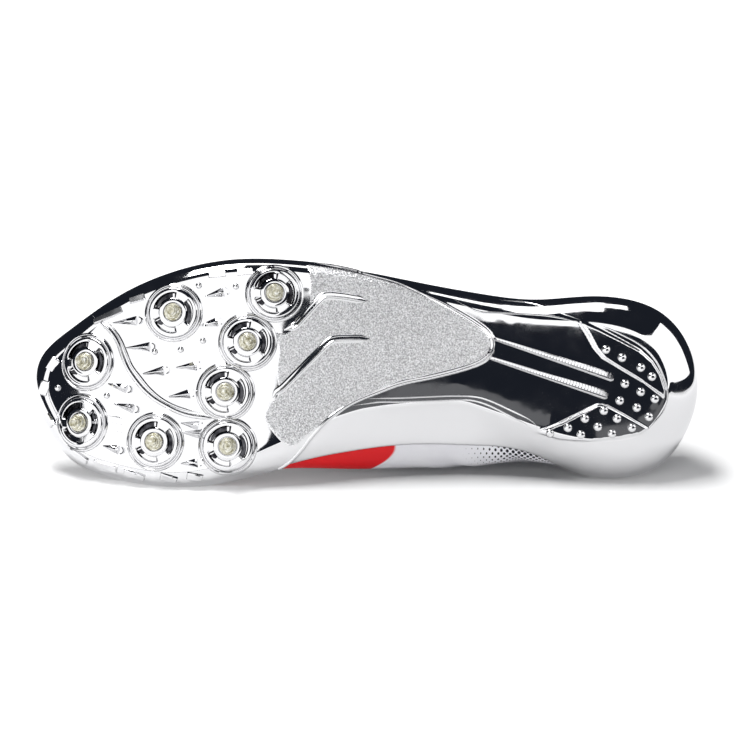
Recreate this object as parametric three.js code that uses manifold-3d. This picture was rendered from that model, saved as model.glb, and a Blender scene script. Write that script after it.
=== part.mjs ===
// A left track spike shoe: a full-length plated shell with a raised forefoot plate and eight spikes,
// a thin hollow upper on it, and a tongue, an insole and a lace. It lies on its medial side.
//
// Every piece is modelled in the frame of the standing shoe, in millimetres: x runs from the heel to
// the toe, y to the lateral side and z up. The pose at the end lays the shoe down.
import * as THREE from "three";
import { mergeVertices } from "three/addons/utils/BufferGeometryUtils.js";
import { ConvexHull } from "three/addons/math/ConvexHull.js";
import Module from "manifold-3d";

const wasm = await Module();
wasm.setup();

// Driving dimensions of the last and the shell
const LENGTH = 276;
const BALL_WIDTH = 94;
const HEEL_WIDTH = 75;
const COLLAR_WIDTH = 55;
const COLLAR_HEIGHT = 70; // top of the heel above the ground
const INSTEP_HEIGHT = 79; // top of the throat above the ground
const BULGE_HEIGHT = 20; // of the widest line above the sole, where it is highest
const SOLE_BASE = 4.2; // from the ground to the last at the ball
const ARCH_RISE = 15;
const TOE_SPRING = 21;
const CROWN = 1.2; // rise of the sole from its middle to its edge
const GAP = 0.3; // between pieces that touch
const UPPER_WALL = 1.4;
const LASTING_MARGIN = 9; // of the upper, turned in under the foot
const SHELL_WALL = 1.7;
const PLATE_STEP = 1.1; // the forefoot plate stands this proud of the shell
const HEEL_STEP = 0.8; // and the facets of the heel tread this
const INSOLE_WALL = 2.4;
const INSOLE_EDGE = 3; // from the insole's outline to the feather line
const TONGUE_WALL = 2;
const TONGUE_SLACK = 0.6; // between tongue and upper
const FLOOR_FLAT = 0.5; // depth of the flats that the floor presses
const ROOT = 0.6; // how far what stands on the shell starts inside it

// Spike wells, receptacles and spikes
const WELL_RADIUS = 10.6;
const WELL_HEIGHT = 2;
const HUB_RADIUS = 5.3;
const HUB_HEIGHT = 2.3;
const BORE_DEPTH = 3.4; // below the top of the hub
const RECEPTACLE_RADIUS = 3.7;
const RECEPTACLE_HEIGHT = 2.7;
const THREAD_RADIUS = 2.2; // of the receptacle's hole
const SPIKE_FLANGE_RADIUS = 3.5;
const SPIKE_HEIGHT = 5.2; // above the hub
const SPIKE_STEM = 2.2; // down into the receptacle

// Lugs, ribs, eyelets and lace
const EDGE_LUG = { count: 21, length: 8, width: 2.6, height: 0.9, inset: 0.4 };
const EDGE_LUG_ROWS = [8.3, 19.7]; // from the lateral side of the ball round the toe to its medial side
const TOOTH = { length: 7.2, width: 2.4, height: 1.5 };
const NUB = { radius: 1.7, height: 1.1 };
const RIB_HEIGHT = 1.1;
const RIB_TIP_WIDTH = 1.3;
const RIB_END_WIDTH = 3.6;
const EYELET_RADIUS = 2.1;
const LACE_WIDTH = 6;
const LACE_WALL = 1.6;
const LACE_LIFT = 0.7; // from the eyestays to the lace

// The ribs run from the sole's spine out under the last, up its side and in to the rim of the opening.
// A row holds, from heel to toe: the outline's x as a share of LENGTH and y of the row's width; the
// share of that width taken from BALL_WIDTH and not HEEL_WIDTH; the widest line's height, of
// BULGE_HEIGHT; how far the feather line lies inside the outline, of the row's width; the shell's edge,
// where 1 is the widest line and 2 the rim; the rim's x of LENGTH, y of COLLAR_WIDTH and z of
// COLLAR_HEIGHT or, with high 1, of INSTEP_HEIGHT; the handles up from the widest line and down from the
// rim, of INSTEP_HEIGHT; and in degrees the slope at the rim and the turn at the feather line.
const COLUMNS = ["x", "y", "ball", "wide", "tuck", "edge", "rimX", "rimY", "rimZ", "high", "up", "down",
  "slope", "turn"];
const LATERAL = [
  [0.007, 0.053, 0.0, 0.70, 0.160, 1.42, 0.040, 0.076, 1.000, 0, 0.23, 0.20, 80, 35],
  [0.024, 0.293, 0.0, 0.70, 0.170, 1.40, 0.051, 0.310, 0.985, 0, 0.23, 0.20, 80, 35],
  [0.072, 0.464, 0.0, 0.68, 0.170, 1.32, 0.098, 0.490, 0.945, 0, 0.20, 0.20, 80, 35],
  [0.152, 0.523, 0.0, 0.64, 0.145, 1.16, 0.167, 0.555, 0.895, 0, 0.18, 0.18, 82, 35],
  [0.239, 0.482, 0.2, 0.55, 0.100, 0.96, 0.232, 0.565, 0.875, 0, 0.16, 0.18, 80, 35],
  [0.326, 0.490, 0.4, 0.50, 0.073, 0.88, 0.297, 0.535, 0.915, 0, 0.16, 0.18, 72, 35],
  [0.420, 0.521, 0.6, 0.45, 0.058, 0.85, 0.360, 0.455, 0.920, 1, 0.18, 0.20, 62, 25],
  [0.514, 0.550, 0.8, 0.42, 0.045, 0.85, 0.406, 0.345, 0.990, 1, 0.20, 0.23, 54, 10],
  [0.609, 0.557, 1.0, 0.40, 0.037, 0.88, 0.471, 0.280, 0.940, 1, 0.20, 0.25, 46, 2],
  [0.699, 0.560, 1.0, 0.38, 0.037, 0.92, 0.533, 0.245, 0.870, 1, 0.19, 0.28, 40, 0],
  [0.783, 0.511, 1.0, 0.36, 0.037, 0.94, 0.583, 0.220, 0.805, 1, 0.18, 0.33, 34, 0],
  [0.864, 0.413, 1.0, 0.36, 0.037, 0.94, 0.627, 0.190, 0.755, 1, 0.165, 0.40, 28, 0],
  [0.935, 0.280, 1.0, 0.36, 0.042, 0.94, 0.660, 0.155, 0.715, 1, 0.15, 0.48, 24, 0],
  [0.980, 0.170, 1.0, 0.36, 0.048, 0.97, 0.680, 0.095, 0.695, 1, 0.145, 0.56, 22, 0],
  [0.993, 0.034, 1.0, 0.36, 0.050, 1.00, 0.687, 0.027, 0.685, 1, 0.14, 0.58, 21, 0],
];
const MEDIAL = [
  [0.024, -0.193, 0.0, 0.70, 0.170, 1.40, 0.051, -0.165, 0.985, 0, 0.23, 0.20, 80, 35],
  [0.071, -0.388, 0.0, 0.70, 0.180, 1.32, 0.098, -0.355, 0.950, 0, 0.20, 0.20, 80, 35],
  [0.152, -0.434, 0.0, 0.74, 0.175, 1.12, 0.167, -0.450, 0.905, 0, 0.18, 0.18, 82, 35],
  [0.243, -0.346, 0.2, 0.85, 0.165, 0.56, 0.232, -0.462, 0.890, 0, 0.16, 0.18, 80, 36],
  [0.333, -0.348, 0.4, 0.92, 0.300, 0.47, 0.297, -0.430, 0.940, 0, 0.16, 0.18, 72, 36],
  [0.428, -0.344, 0.6, 0.95, 0.300, 0.44, 0.360, -0.327, 0.930, 1, 0.18, 0.20, 62, 36],
  [0.522, -0.337, 0.8, 0.90, 0.255, 0.47, 0.406, -0.227, 1.000, 1, 0.20, 0.23, 54, 34],
  [0.616, -0.323, 1.0, 0.68, 0.130, 0.56, 0.471, -0.180, 0.950, 1, 0.20, 0.25, 46, 20],
  [0.703, -0.354, 1.0, 0.45, 0.055, 0.84, 0.533, -0.155, 0.880, 1, 0.19, 0.28, 40, 5],
  [0.786, -0.380, 1.0, 0.38, 0.043, 0.93, 0.583, -0.136, 0.815, 1, 0.18, 0.33, 34, 0],
  [0.862, -0.345, 1.0, 0.36, 0.042, 0.94, 0.627, -0.118, 0.763, 1, 0.165, 0.40, 28, 0],
  [0.933, -0.261, 1.0, 0.36, 0.045, 0.94, 0.660, -0.090, 0.720, 1, 0.15, 0.48, 24, 0],
  [0.977, -0.100, 1.0, 0.36, 0.048, 0.97, 0.680, -0.042, 0.697, 1, 0.145, 0.56, 22, 0],
];
// The spine's x, as a share of LENGTH, at each row from heel to toe
const SPINE = [0.087, 0.1, 0.12, 0.16, 0.24, 0.328, 0.42, 0.515, 0.605, 0.69, 0.765, 0.83, 0.875, 0.9, 0.91];
const TOE_ROW = SPINE.length - 1;
const RIBS = 2 * TOE_ROW; // around the shoe: up the lateral side from the heel, and back on the medial side
const COLUMNS_PER_ROW = 2; // of the walls' faces

// Where the forefoot plate ends: its edge from the lateral outline round the tip to the medial outline.
// Shares of LENGTH and BALL_WIDTH.
const PLATE_EDGE = [
  [0.598, 0.583], [0.561, 0.567], [0.524, 0.545], [0.486, 0.518], [0.449, 0.487], [0.404, 0.426],
  [0.374, 0.382], [0.337, 0.317], [0.316, 0.266], [0.310, 0.215], [0.315, 0.169], [0.330, 0.134],
  [0.360, 0.103], [0.402, 0.072], [0.447, 0.044], [0.482, 0.006], [0.521, -0.043], [0.554, -0.109],
  [0.581, -0.191], [0.597, -0.250], [0.618, -0.309], [0.651, -0.362], [0.688, -0.447],
];
// The two raised facets of the heel tread, lateral and medial. Shares of LENGTH and HEEL_WIDTH.
const HEEL_FACETS = [
  [[0.180, 0.395], [0.168, 0.324], [0.157, 0.245], [0.145, 0.191], [0.121, 0.135], [0.091, 0.068],
    [0.056, -0.025], [0.054, 0.013], [0.061, 0.095], [0.073, 0.167], [0.091, 0.228], [0.121, 0.289],
    [0.150, 0.345]],
  [[0.244, -0.215], [0.211, -0.171], [0.181, -0.117], [0.154, -0.068], [0.141, -0.075], [0.114, -0.129],
    [0.080, -0.201], [0.092, -0.228], [0.122, -0.249], [0.167, -0.265], [0.211, -0.252]],
];
// Spike wells: share of LENGTH, share of BALL_WIDTH
const WELLS = [
  [0.785, 0.351], [0.635, 0.433], [0.675, 0.220], [0.708, 0.003], [0.705, -0.233], [0.813, -0.211],
  [0.925, -0.121], [0.916, 0.144],
];
// Wedge lugs between the wells: share of LENGTH, share of BALL_WIDTH, turn in degrees
const TEETH = [
  [0.859, 0.316, 3], [0.724, 0.430, 14], [0.733, 0.301, 12], [0.839, 0.202, 1], [0.766, 0.115, 5],
  [0.815, 0.093, 7], [0.777, -0.010, 8], [0.870, 0.034, -16], [0.860, -0.054, -15], [0.872, -0.132, -12],
  [0.880, -0.234, -15], [0.762, -0.305, 3], [0.761, -0.165, 8],
];
// Round nubs on the heel: share of LENGTH, share of HEEL_WIDTH
const NUBS = [
  [0.142, 0.235], [0.118, 0.189], [0.090, 0.135], [0.074, 0.084], [0.114, 0.047], [0.090, 0.001],
  [0.069, -0.037], [0.122, -0.047], [0.096, -0.085], [0.078, -0.136], [0.146, -0.101], [0.174, -0.144],
  [0.126, -0.145], [0.199, -0.193], [0.155, -0.189], [0.104, -0.196], [0.226, -0.224], [0.180, -0.232],
  [0.134, -0.228],
];
// Two ribs from the plate's tip to the heel: start and end as shares of LENGTH and HEEL_WIDTH
const HEEL_RIBS = [
  { from: [0.312, 0.307], to: [0.130, 0.080] },
  { from: [0.315, 0.196], to: [0.140, -0.019] },
];
// Eyelets: row along the ribs, from the throat's top to its front
const EYELETS = [7.35, 8.1, 8.9, 9.75, 10.65, 11.55];
const EYELET_LEVEL = 1.9;
const TONGUE_LEVEL = 1.78;
const TONGUE_ROWS = [7, 11.5];
const LACE_REACH = 0.66; // share across the throat at which the eyelets lie

const clamp = (v, low, high) => Math.min(high, Math.max(low, v));
const mix = (a, b, s) => a + (b - a) * s;
const smootherstep = (s) => s * s * s * (s * (6 * s - 15) + 10);

// A closed cubic curve through the values, with no break in its bend
function closedCurve(values) {
  const count = values.length;
  const at = (list, i) => list[((i % count) + count) % count];
  let hulls = [...values];
  for (let pass = 0; pass < 40; pass++) {
    hulls = values.map((v, i) => (6 * v - at(hulls, i - 1) - at(hulls, i + 1)) / 4);
  }
  return (row) => {
    const i = Math.floor(row);
    const s = row - i;
    return (
      ((1 - s) ** 3 * at(hulls, i - 1) +
        (3 * s ** 3 - 6 * s ** 2 + 4) * at(hulls, i) +
        (-3 * s ** 3 + 3 * s ** 2 + 3 * s + 1) * at(hulls, i + 1) +
        s ** 3 * at(hulls, i + 2)) /
      6
    );
  };
}

// Columns as functions of the row: 0 is the heel, TOE_ROW the toe, and RIBS the heel again
const ROWS = [...LATERAL, ...[...MEDIAL].reverse()];
const column = Object.fromEntries(
  COLUMNS.map((name, c) => [name, closedCurve(ROWS.map((row) => row[c]))]),
);
const spineShare = closedCurve(ROWS.map((_, i) => SPINE[i <= TOE_ROW ? i : RIBS - i]));

// Height of the last's bottom above the ground: the rise to the arch, the heel a little lower, the toe up
function soleHeight(x) {
  const share = x / LENGTH;
  const arch = smootherstep(clamp((0.7 - share) / 0.4, 0, 1));
  const heel = smootherstep(clamp((0.32 - share) / 0.2, 0, 1));
  const toe = Math.max(0, (share - 0.72) / 0.28) ** 2.2;
  return SOLE_BASE + ARCH_RISE * (arch - 0.18 * heel) + TOE_SPRING * toe;
}

function outline(row) {
  const width = mix(HEEL_WIDTH, BALL_WIDTH, column.ball(row));
  return new THREE.Vector3(column.x(row) * LENGTH, column.y(row) * width, 0);
}

// The feather point of a rib, where the last's bottom turns up, and the way out of the shoe there
function feather(row) {
  const width = mix(HEEL_WIDTH, BALL_WIDTH, column.ball(row));
  const along = outline(row + 0.01).sub(outline(row - 0.01));
  const out = new THREE.Vector3(-along.y, along.x, 0).normalize();
  const edge = outline(row);
  const foot = edge.clone().addScaledVector(out, -column.tuck(row) * width);
  foot.z = soleHeight(foot.x) + CROWN;
  return { foot, edge, out };
}

function spinePoint(row) {
  const x = spineShare(row) * LENGTH;
  const y = (feather(row).foot.y + feather(RIBS - row).foot.y) / 2;
  return new THREE.Vector3(x, y, soleHeight(x));
}

// A point of the last: level -1 is the spine, 0 the feather line, 1 the widest line and 2 the rim
function lastPoint(row, level) {
  const { foot, edge, out } = feather(row);
  if (level < 0) {
    const spine = spinePoint(row);
    const point = spine.clone().lerp(foot, level + 1);
    point.z = soleHeight(point.x) + CROWN * (level + 1) ** 2;
    return point;
  }
  const wide = edge.clone().setZ(foot.z + column.wide(row) * BULGE_HEIGHT);
  if (level <= 1) {
    const turn = THREE.MathUtils.degToRad(column.turn(row));
    const reach = 0.55 * foot.distanceTo(wide.clone().setZ(foot.z));
    const first = foot.clone().addScaledVector(out, reach * Math.cos(turn));
    first.z += reach * Math.sin(turn);
    const second = wide.clone().setZ(mix(wide.z, foot.z, 0.5 * Math.cos(turn)));
    return new THREE.CubicBezierCurve3(foot, first, second, wide).getPoint(level);
  }
  const high = column.rimZ(row) * mix(COLLAR_HEIGHT, INSTEP_HEIGHT, clamp(column.high(row), 0, 1));
  const rim = new THREE.Vector3(column.rimX(row) * LENGTH, column.rimY(row) * COLLAR_WIDTH, high);
  const slope = THREE.MathUtils.degToRad(column.slope(row));
  const away = wide.clone().setZ(rim.z).sub(rim).normalize().multiplyScalar(Math.cos(slope));
  away.z = -Math.sin(slope);
  const above = wide.clone().setZ(wide.z + column.up(row) * INSTEP_HEIGHT);
  const below = rim.clone().addScaledVector(away, column.down(row) * INSTEP_HEIGHT);
  return new THREE.CubicBezierCurve3(wide, above, below, rim).getPoint(level - 1);
}

function lastNormal(row, level) {
  const step = 0.02;
  const side = clamp(level, step, 2 - step);
  const along = lastPoint(row + step, side).sub(lastPoint(row - step, side));
  const up = lastPoint(row, side + step).sub(lastPoint(row, side - step));
  const wall = up.cross(along).normalize();
  if (level >= 0) return wall;
  const x = lastPoint(row, level).x;
  const bottom = new THREE.Vector3(soleHeight(x + 0.5) - soleHeight(x - 0.5), 0, -1).normalize();
  return bottom.lerp(wall, (level + 1) ** 6).normalize();
}

// A point off the last by a distance, out of the shoe where it is positive
const offLast = (row, level, distance) =>
  lastPoint(row, level).addScaledVector(lastNormal(row, level), distance);

// Geometry from a grid of points and the quads between them, welded into one closed mesh
function weld(points, quads) {
  const geometry = new THREE.BufferGeometry();
  geometry.setAttribute("position", new THREE.Float32BufferAttribute(points.flatMap((p) => p.toArray()), 3));
  geometry.setIndex(quads.flatMap(([a, b, c, d]) => (d === undefined ? [a, b, c] : [a, b, c, a, c, d])));
  return geometry;
}

function solidOf(geometry) {
  const bare = geometry.clone();
  bare.deleteAttribute("normal");
  bare.deleteAttribute("uv");
  const merged = mergeVertices(bare, 1e-4);
  const corners = merged.index.array;
  const triangles = [];
  for (let i = 0; i < corners.length; i += 3) {
    const [a, b, c] = [corners[i], corners[i + 1], corners[i + 2]];
    if (a !== b && b !== c && c !== a) triangles.push(a, b, c);
  }
  const build = (order) =>
    new wasm.Manifold(
      new wasm.Mesh({
        numProp: 3,
        vertProperties: new Float32Array(merged.attributes.position.array),
        triVerts: new Uint32Array(order),
      }),
    );
  const made = build(triangles);
  if (made.volume() > 0) return made;
  const turned = triangles.map((_, i) => triangles[i - (i % 3) + [0, 2, 1][i % 3]]);
  return build(turned);
}

function geometryOf(solid) {
  const mesh = solid.getMesh();
  const points = [];
  for (let i = 0; i < mesh.numVert; i++) {
    points.push(...mesh.vertProperties.subarray(i * mesh.numProp, i * mesh.numProp + 3));
  }
  const geometry = new THREE.BufferGeometry();
  geometry.setAttribute("position", new THREE.Float32BufferAttribute(points, 3));
  geometry.setIndex(new THREE.BufferAttribute(mesh.triVerts, 1));
  return geometry;
}

const join = (solids) => solids.reduce((a, b) => a.add(b));
const cut = (solid, tools) => tools.reduce((a, b) => a.subtract(b), solid);

// A wall around the whole shoe between two distances off the last. levelsAt gives a rib's levels; a wall
// that starts at the spine closes there by itself, and any other gets an edge there too.
function shoeWall(levelsAt, innerOff, outerOff) {
  const points = [];
  const quads = [];
  const count = RIBS * COLUMNS_PER_ROW;
  const rowLength = levelsAt(0).length;
  for (let c = 0; c < count; c++) {
    const row = c / COLUMNS_PER_ROW;
    for (const off of [outerOff, innerOff]) {
      levelsAt(row).forEach((level) => points.push(offLast(row, level, off)));
    }
  }
  const at = (c, layer, j) => ((c % count) * 2 + layer) * rowLength + j;
  const spined = levelsAt(0)[0] === -1;
  for (let c = 0; c < count; c++) {
    for (let j = 0; j + 1 < rowLength; j++) {
      quads.push([at(c, 0, j), at(c, 0, j + 1), at(c + 1, 0, j + 1), at(c + 1, 0, j)]);
      quads.push([at(c, 1, j), at(c + 1, 1, j), at(c + 1, 1, j + 1), at(c, 1, j + 1)]);
    }
    const last = rowLength - 1;
    quads.push([at(c, 0, last), at(c, 1, last), at(c + 1, 1, last), at(c + 1, 0, last)]);
    if (!spined) quads.push([at(c, 0, 0), at(c + 1, 0, 0), at(c + 1, 1, 0), at(c, 1, 0)]);
  }
  return solidOf(weld(points, quads));
}

const levels = (from, to, steps) => Array.from({ length: steps + 1 }, (_, i) => mix(from, to, i / steps));

// A loft through closed loops of equally many points, with a cap at each end
function loft(loops) {
  const points = loops.flat();
  const n = loops[0].length;
  const quads = [];
  for (let i = 0; i + 1 < loops.length; i++) {
    for (let j = 0; j < n; j++) {
      const k = (j + 1) % n;
      quads.push([i * n + j, i * n + k, (i + 1) * n + k, (i + 1) * n + j]);
    }
  }
  const end = (loops.length - 1) * n;
  for (let j = 0; j < n - 2 - j; j++) {
    const cap = j + 1 === n - 2 - j ? [j, j + 1, n - 1 - j] : [j, j + 1, n - 2 - j, n - 1 - j];
    quads.push([...cap].reverse(), cap.map((corner) => end + corner));
  }
  return solidOf(weld(points, quads));
}

// Levels of the shell and of what lies on it, so that their faces run side by side
const BOTTOM_LEVELS = [-1, -0.6, -0.2, 0];
const sideLevels = (row) => [0.25, 0.5, 0.75, 1].map((share) => share * column.edge(row));

const shell = shoeWall((row) => [...BOTTOM_LEVELS, ...sideLevels(row)], GAP, GAP + SHELL_WALL);
const plateOff = GAP + SHELL_WALL + PLATE_STEP;
const steppedShell = join([shell, forefootPlate(), ...heelFacets()]);
const sole = new THREE.Mesh(geometryOf(steppedShell), new THREE.MeshBasicMaterial());

// The sole's surface at a place in the plan, with the way down out of it
function underside(x, y) {
  const up = new THREE.Vector3(0, 0, 1);
  const hits = new THREE.Raycaster(new THREE.Vector3(x, y, -LENGTH), up).intersectObject(sole);
  const slope = soleHeight(x + 0.5) - soleHeight(x - 0.5);
  return { point: hits[0].point, down: new THREE.Vector3(slope, 0, -1).normalize() };
}

// A turned piece that stands on the underside: its profile holds [radius, height] from the axis out and back
function turned(profile, place, segments) {
  const lathe = new THREE.LatheGeometry(profile.map(([r, h]) => new THREE.Vector2(r, h)), segments);
  const turn = new THREE.Quaternion().setFromUnitVectors(new THREE.Vector3(0, 1, 0), place.down);
  lathe.applyQuaternion(turn);
  lathe.translate(...place.point.toArray());
  return solidOf(lathe);
}

const wellPlace = ([x, y]) => underside(x * LENGTH, y * BALL_WIDTH);

// An upright block with this outline in the plan
function uprightBlock(outlinePoints) {
  const shape = new THREE.Shape();
  shape.setFromPoints(outlinePoints);
  const block = new THREE.ExtrudeGeometry(shape, { depth: 2 * INSTEP_HEIGHT, bevelEnabled: false });
  return solidOf(block.translate(0, 0, -INSTEP_HEIGHT));
}

// A layer on the shell's outside, where it lies in the block. It starts inside the shell, so they join.
function raisedLayer(block, height) {
  const layer = shoeWall(
    (row) => [...BOTTOM_LEVELS, ...sideLevels(row).slice(0, 3)],
    GAP + SHELL_WALL - ROOT,
    GAP + SHELL_WALL + height,
  );
  return layer.intersect(block);
}

function forefootPlate() {
  const edge = PLATE_EDGE.map(([x, y]) => new THREE.Vector2(x * LENGTH, y * BALL_WIDTH));
  const ahead = [-1, 1].map((side) => new THREE.Vector2(1.2 * LENGTH, side * BALL_WIDTH));
  return raisedLayer(uprightBlock([...new THREE.SplineCurve(edge).getPoints(32), ...ahead]), PLATE_STEP);
}

function heelFacets() {
  return HEEL_FACETS.map((facet) => {
    const corners = facet.map(([x, y]) => new THREE.Vector2(x * LENGTH, y * HEEL_WIDTH));
    return raisedLayer(uprightBlock(corners), HEEL_STEP);
  });
}

function wellRings() {
  const profile = [
    [0, -ROOT], [WELL_RADIUS, -ROOT], [WELL_RADIUS - 0.5, WELL_HEIGHT], [WELL_RADIUS - 1.7, WELL_HEIGHT - 0.1],
    [HUB_RADIUS + 0.8, 0.5], [HUB_RADIUS - 0.5, HUB_HEIGHT], [0, HUB_HEIGHT],
  ];
  return WELLS.map((well) => turned(profile, wellPlace(well), 18));
}

function wellBores() {
  const radius = RECEPTACLE_RADIUS + GAP;
  const profile = [[0, HUB_HEIGHT - BORE_DEPTH], [radius, HUB_HEIGHT - BORE_DEPTH], [radius, HUB_HEIGHT + 1],
    [0, HUB_HEIGHT + 1]];
  return WELLS.map((well) => turned(profile, wellPlace(well), 12));
}

// A block on the surface of the sole between two ribs and two levels
function edgeLug(rowFrom, rowTo) {
  const corners = [plateOff - ROOT, plateOff + EDGE_LUG.height].map((off) =>
    [[rowFrom, 0], [rowTo, 0], [rowTo, 1], [rowFrom, 1]].map(([row, inner]) => {
      const spine = spinePoint(row);
      const reach = lastPoint(row, 0).distanceTo(spine);
      const level = -(EDGE_LUG.inset + inner * EDGE_LUG.width) / reach;
      return offLast(row, level, off);
    }),
  );
  return loft(corners);
}

function edgeLugs() {
  const [first, last] = EDGE_LUG_ROWS;
  const pitch = (last - first) / EDGE_LUG.count;
  const spacing = outline(first).distanceTo(outline(first + pitch));
  const half = (0.5 * pitch * EDGE_LUG.length) / spacing;
  return Array.from({ length: EDGE_LUG.count }, (_, i) => first + (i + 0.5) * pitch)
    .map((row) => edgeLug(row - half, row + half));
}

function teeth() {
  return TEETH.map(([xShare, yShare, turn]) => {
    const place = underside(xShare * LENGTH, yShare * BALL_WIDTH);
    const [l, w, h] = [TOOTH.length / 2, TOOTH.width / 2, TOOTH.height];
    const spin = THREE.MathUtils.degToRad(turn);
    const put = (x, y, out) =>
      place.point
        .clone()
        .add(new THREE.Vector3(x, y, 0).applyAxisAngle(new THREE.Vector3(0, 0, 1), -spin))
        .addScaledVector(place.down, out);
    const root = [put(l, 0.2, -ROOT), put(-l, w, -ROOT), put(-l, -w, -ROOT), put(l, -0.2, -ROOT)];
    const top = [put(l, 0.2, 0.15), put(-l, w, h), put(-l, -w, h), put(l, -0.2, 0.15)];
    return loft([root, top]);
  });
}

function heelNubs() {
  const profile = [[0, -ROOT], [NUB.radius, -ROOT], [0.6 * NUB.radius, NUB.height], [0, NUB.height]];
  return NUBS.map(([x, y]) => turned(profile, underside(x * LENGTH, y * HEEL_WIDTH), 6));
}

function heelRibs() {
  return HEEL_RIBS.map(({ from, to }) => {
    const start = new THREE.Vector2(from[0] * LENGTH, from[1] * HEEL_WIDTH);
    const end = new THREE.Vector2(to[0] * LENGTH, to[1] * HEEL_WIDTH);
    const across = end.clone().sub(start).normalize().rotateAround(new THREE.Vector2(), Math.PI / 2);
    const stations = levels(0, 1, 6).map((s) => {
      const half = mix(RIB_TIP_WIDTH, RIB_END_WIDTH, s) / 2;
      const middle = start.clone().lerp(end, s);
      const place = underside(middle.x, middle.y);
      const put = (side, out) =>
        place.point
          .clone()
          .add(new THREE.Vector3(across.x * side, across.y * side, 0))
          .addScaledVector(place.down, out);
      return [put(-half, -ROOT), put(half, -ROOT), put(half, 0.4 * RIB_HEIGHT), put(0, RIB_HEIGHT),
        put(-half, 0.4 * RIB_HEIGHT)];
    });
    return loft(stations);
  });
}

function makeOutsole() {
  const features = [...wellRings(), ...edgeLugs(), ...teeth(), ...heelNubs(), ...heelRibs()];
  return cut(join([steppedShell, ...features]), wellBores());
}

function makeUpper() {
  const marginLevel = (row) => -LASTING_MARGIN / lastPoint(row, 0).distanceTo(spinePoint(row));
  const wall = shoeWall(
    (row) => [marginLevel(row), 0, ...sideLevels(row), ...levels(column.edge(row), 2, 4).slice(1)],
    -UPPER_WALL,
    0,
  );
  const holes = EYELETS.flatMap((row) => [row, RIBS - row]).map((row) => {
    const place = { point: lastPoint(row, EYELET_LEVEL), down: lastNormal(row, EYELET_LEVEL) };
    const reach = 2 * UPPER_WALL;
    return turned([[0, -reach], [EYELET_RADIUS, -reach], [EYELET_RADIUS, reach], [0, reach]], place, 6);
  });
  return cut(wall, holes);
}

function makeInsole() {
  const inner = -(UPPER_WALL + GAP);
  return shoeWall(
    (row) => {
      const edge = -INSOLE_EDGE / lastPoint(row, 0).distanceTo(spinePoint(row));
      return levels(-1, edge, 2);
    },
    inner - INSOLE_WALL,
    inner,
  );
}

// The instep over the throat at a row: across runs from -1, medial, to 1, lateral, and off is the
// distance from the closed surface that the upper's two sides would make
function instep(row, across, off) {
  const side = (r, level) => ({ point: lastPoint(r, level), normal: lastNormal(r, level) });
  const marks = [TONGUE_LEVEL, EYELET_LEVEL, 2];
  const medial = marks.map((level) => side(RIBS - row, level));
  const lateral = marks.map((level) => side(row, level)).reverse();
  const [left, right] = [medial[2], lateral[0]];
  const normal = left.normal.clone().add(right.normal).normalize();
  const half = left.point.distanceTo(right.point) / 2;
  const lean = THREE.MathUtils.degToRad(column.slope(row));
  const middle = left.point.clone().lerp(right.point, 0.5);
  middle.addScaledVector(normal, 0.85 * half * Math.tan(lean / 2));
  const all = [...medial, { point: middle, normal }, ...lateral];
  const points = all.map((mark) => mark.point.clone().addScaledVector(mark.normal, off));
  return new THREE.CatmullRomCurve3(points, false, "centripetal").getPoint((across + 1) / 2);
}

function makeTongue() {
  const top = -(UPPER_WALL + TONGUE_SLACK);
  const acrossSteps = levels(-1, 1, 8);
  const sheet = (row, shift, narrow) =>
    [top, top - TONGUE_WALL].map((off) =>
      acrossSteps.map((across) => instep(row, narrow * across, off).add(shift)),
    );
  const rows = levels(...TONGUE_ROWS, 9);
  const narrowing = [0.54, 0.76, 0.92];
  const raised = new THREE.Vector3(-0.045 * LENGTH, 0, 0.115 * INSTEP_HEIGHT);
  const tucked = new THREE.Vector3(0.045 * LENGTH, 0, -0.085 * INSTEP_HEIGHT);
  const sunk = new THREE.Vector3(0, 0, -0.02 * INSTEP_HEIGHT);
  const still = new THREE.Vector3();
  const stations = [
    sheet(rows[0], raised, 0.52),
    ...rows.map((row, i) => sheet(row, i === 0 ? sunk : still, narrowing[i] ?? 1)),
    sheet(rows.at(-1), tucked, 0.85),
  ];
  return loft(stations.map(([upper, lower]) => [...upper, ...lower.reverse()]));
}

// A flat strip of lace from one side of the throat to the other. One that crosses over another rises by
// its thickness in the middle.
function laceStrip(rowFrom, rowTo, sign, over) {
  const section = [[-0.9, -1], [0.9, -1], [1, 1], [-1, 1]];
  const at = (s, more) => {
    const rise = over * 0.95 * LACE_WALL * Math.sin(Math.PI * clamp(s, 0, 1)) ** 2;
    return instep(mix(rowFrom, rowTo, s), sign * mix(-LACE_REACH, LACE_REACH, s), LACE_LIFT + LACE_WALL / 2 + rise + more);
  };
  const loops = levels(0, 1, 6).map((s) => {
    const point = at(s, 0);
    const along = at(s + 0.04, 0).sub(at(s - 0.04, 0)).normalize();
    const across = along.clone().cross(at(s, 1).sub(point)).normalize();
    const up = across.clone().cross(along);
    return section.map(([a, b]) =>
      point.clone().addScaledVector(across, (a * LACE_WIDTH) / 2).addScaledVector(up, (b * LACE_WALL) / 2),
    );
  });
  return loft(loops);
}

function makeLace() {
  const strips = [laceStrip(EYELETS.at(-1), EYELETS.at(-1), 1, 0)];
  for (let k = 0; k + 1 < EYELETS.length; k++) {
    strips.push(laceStrip(EYELETS[k], EYELETS[k + 1], 1, 0), laceStrip(EYELETS[k], EYELETS[k + 1], -1, 1));
  }
  return join(strips);
}

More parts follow.
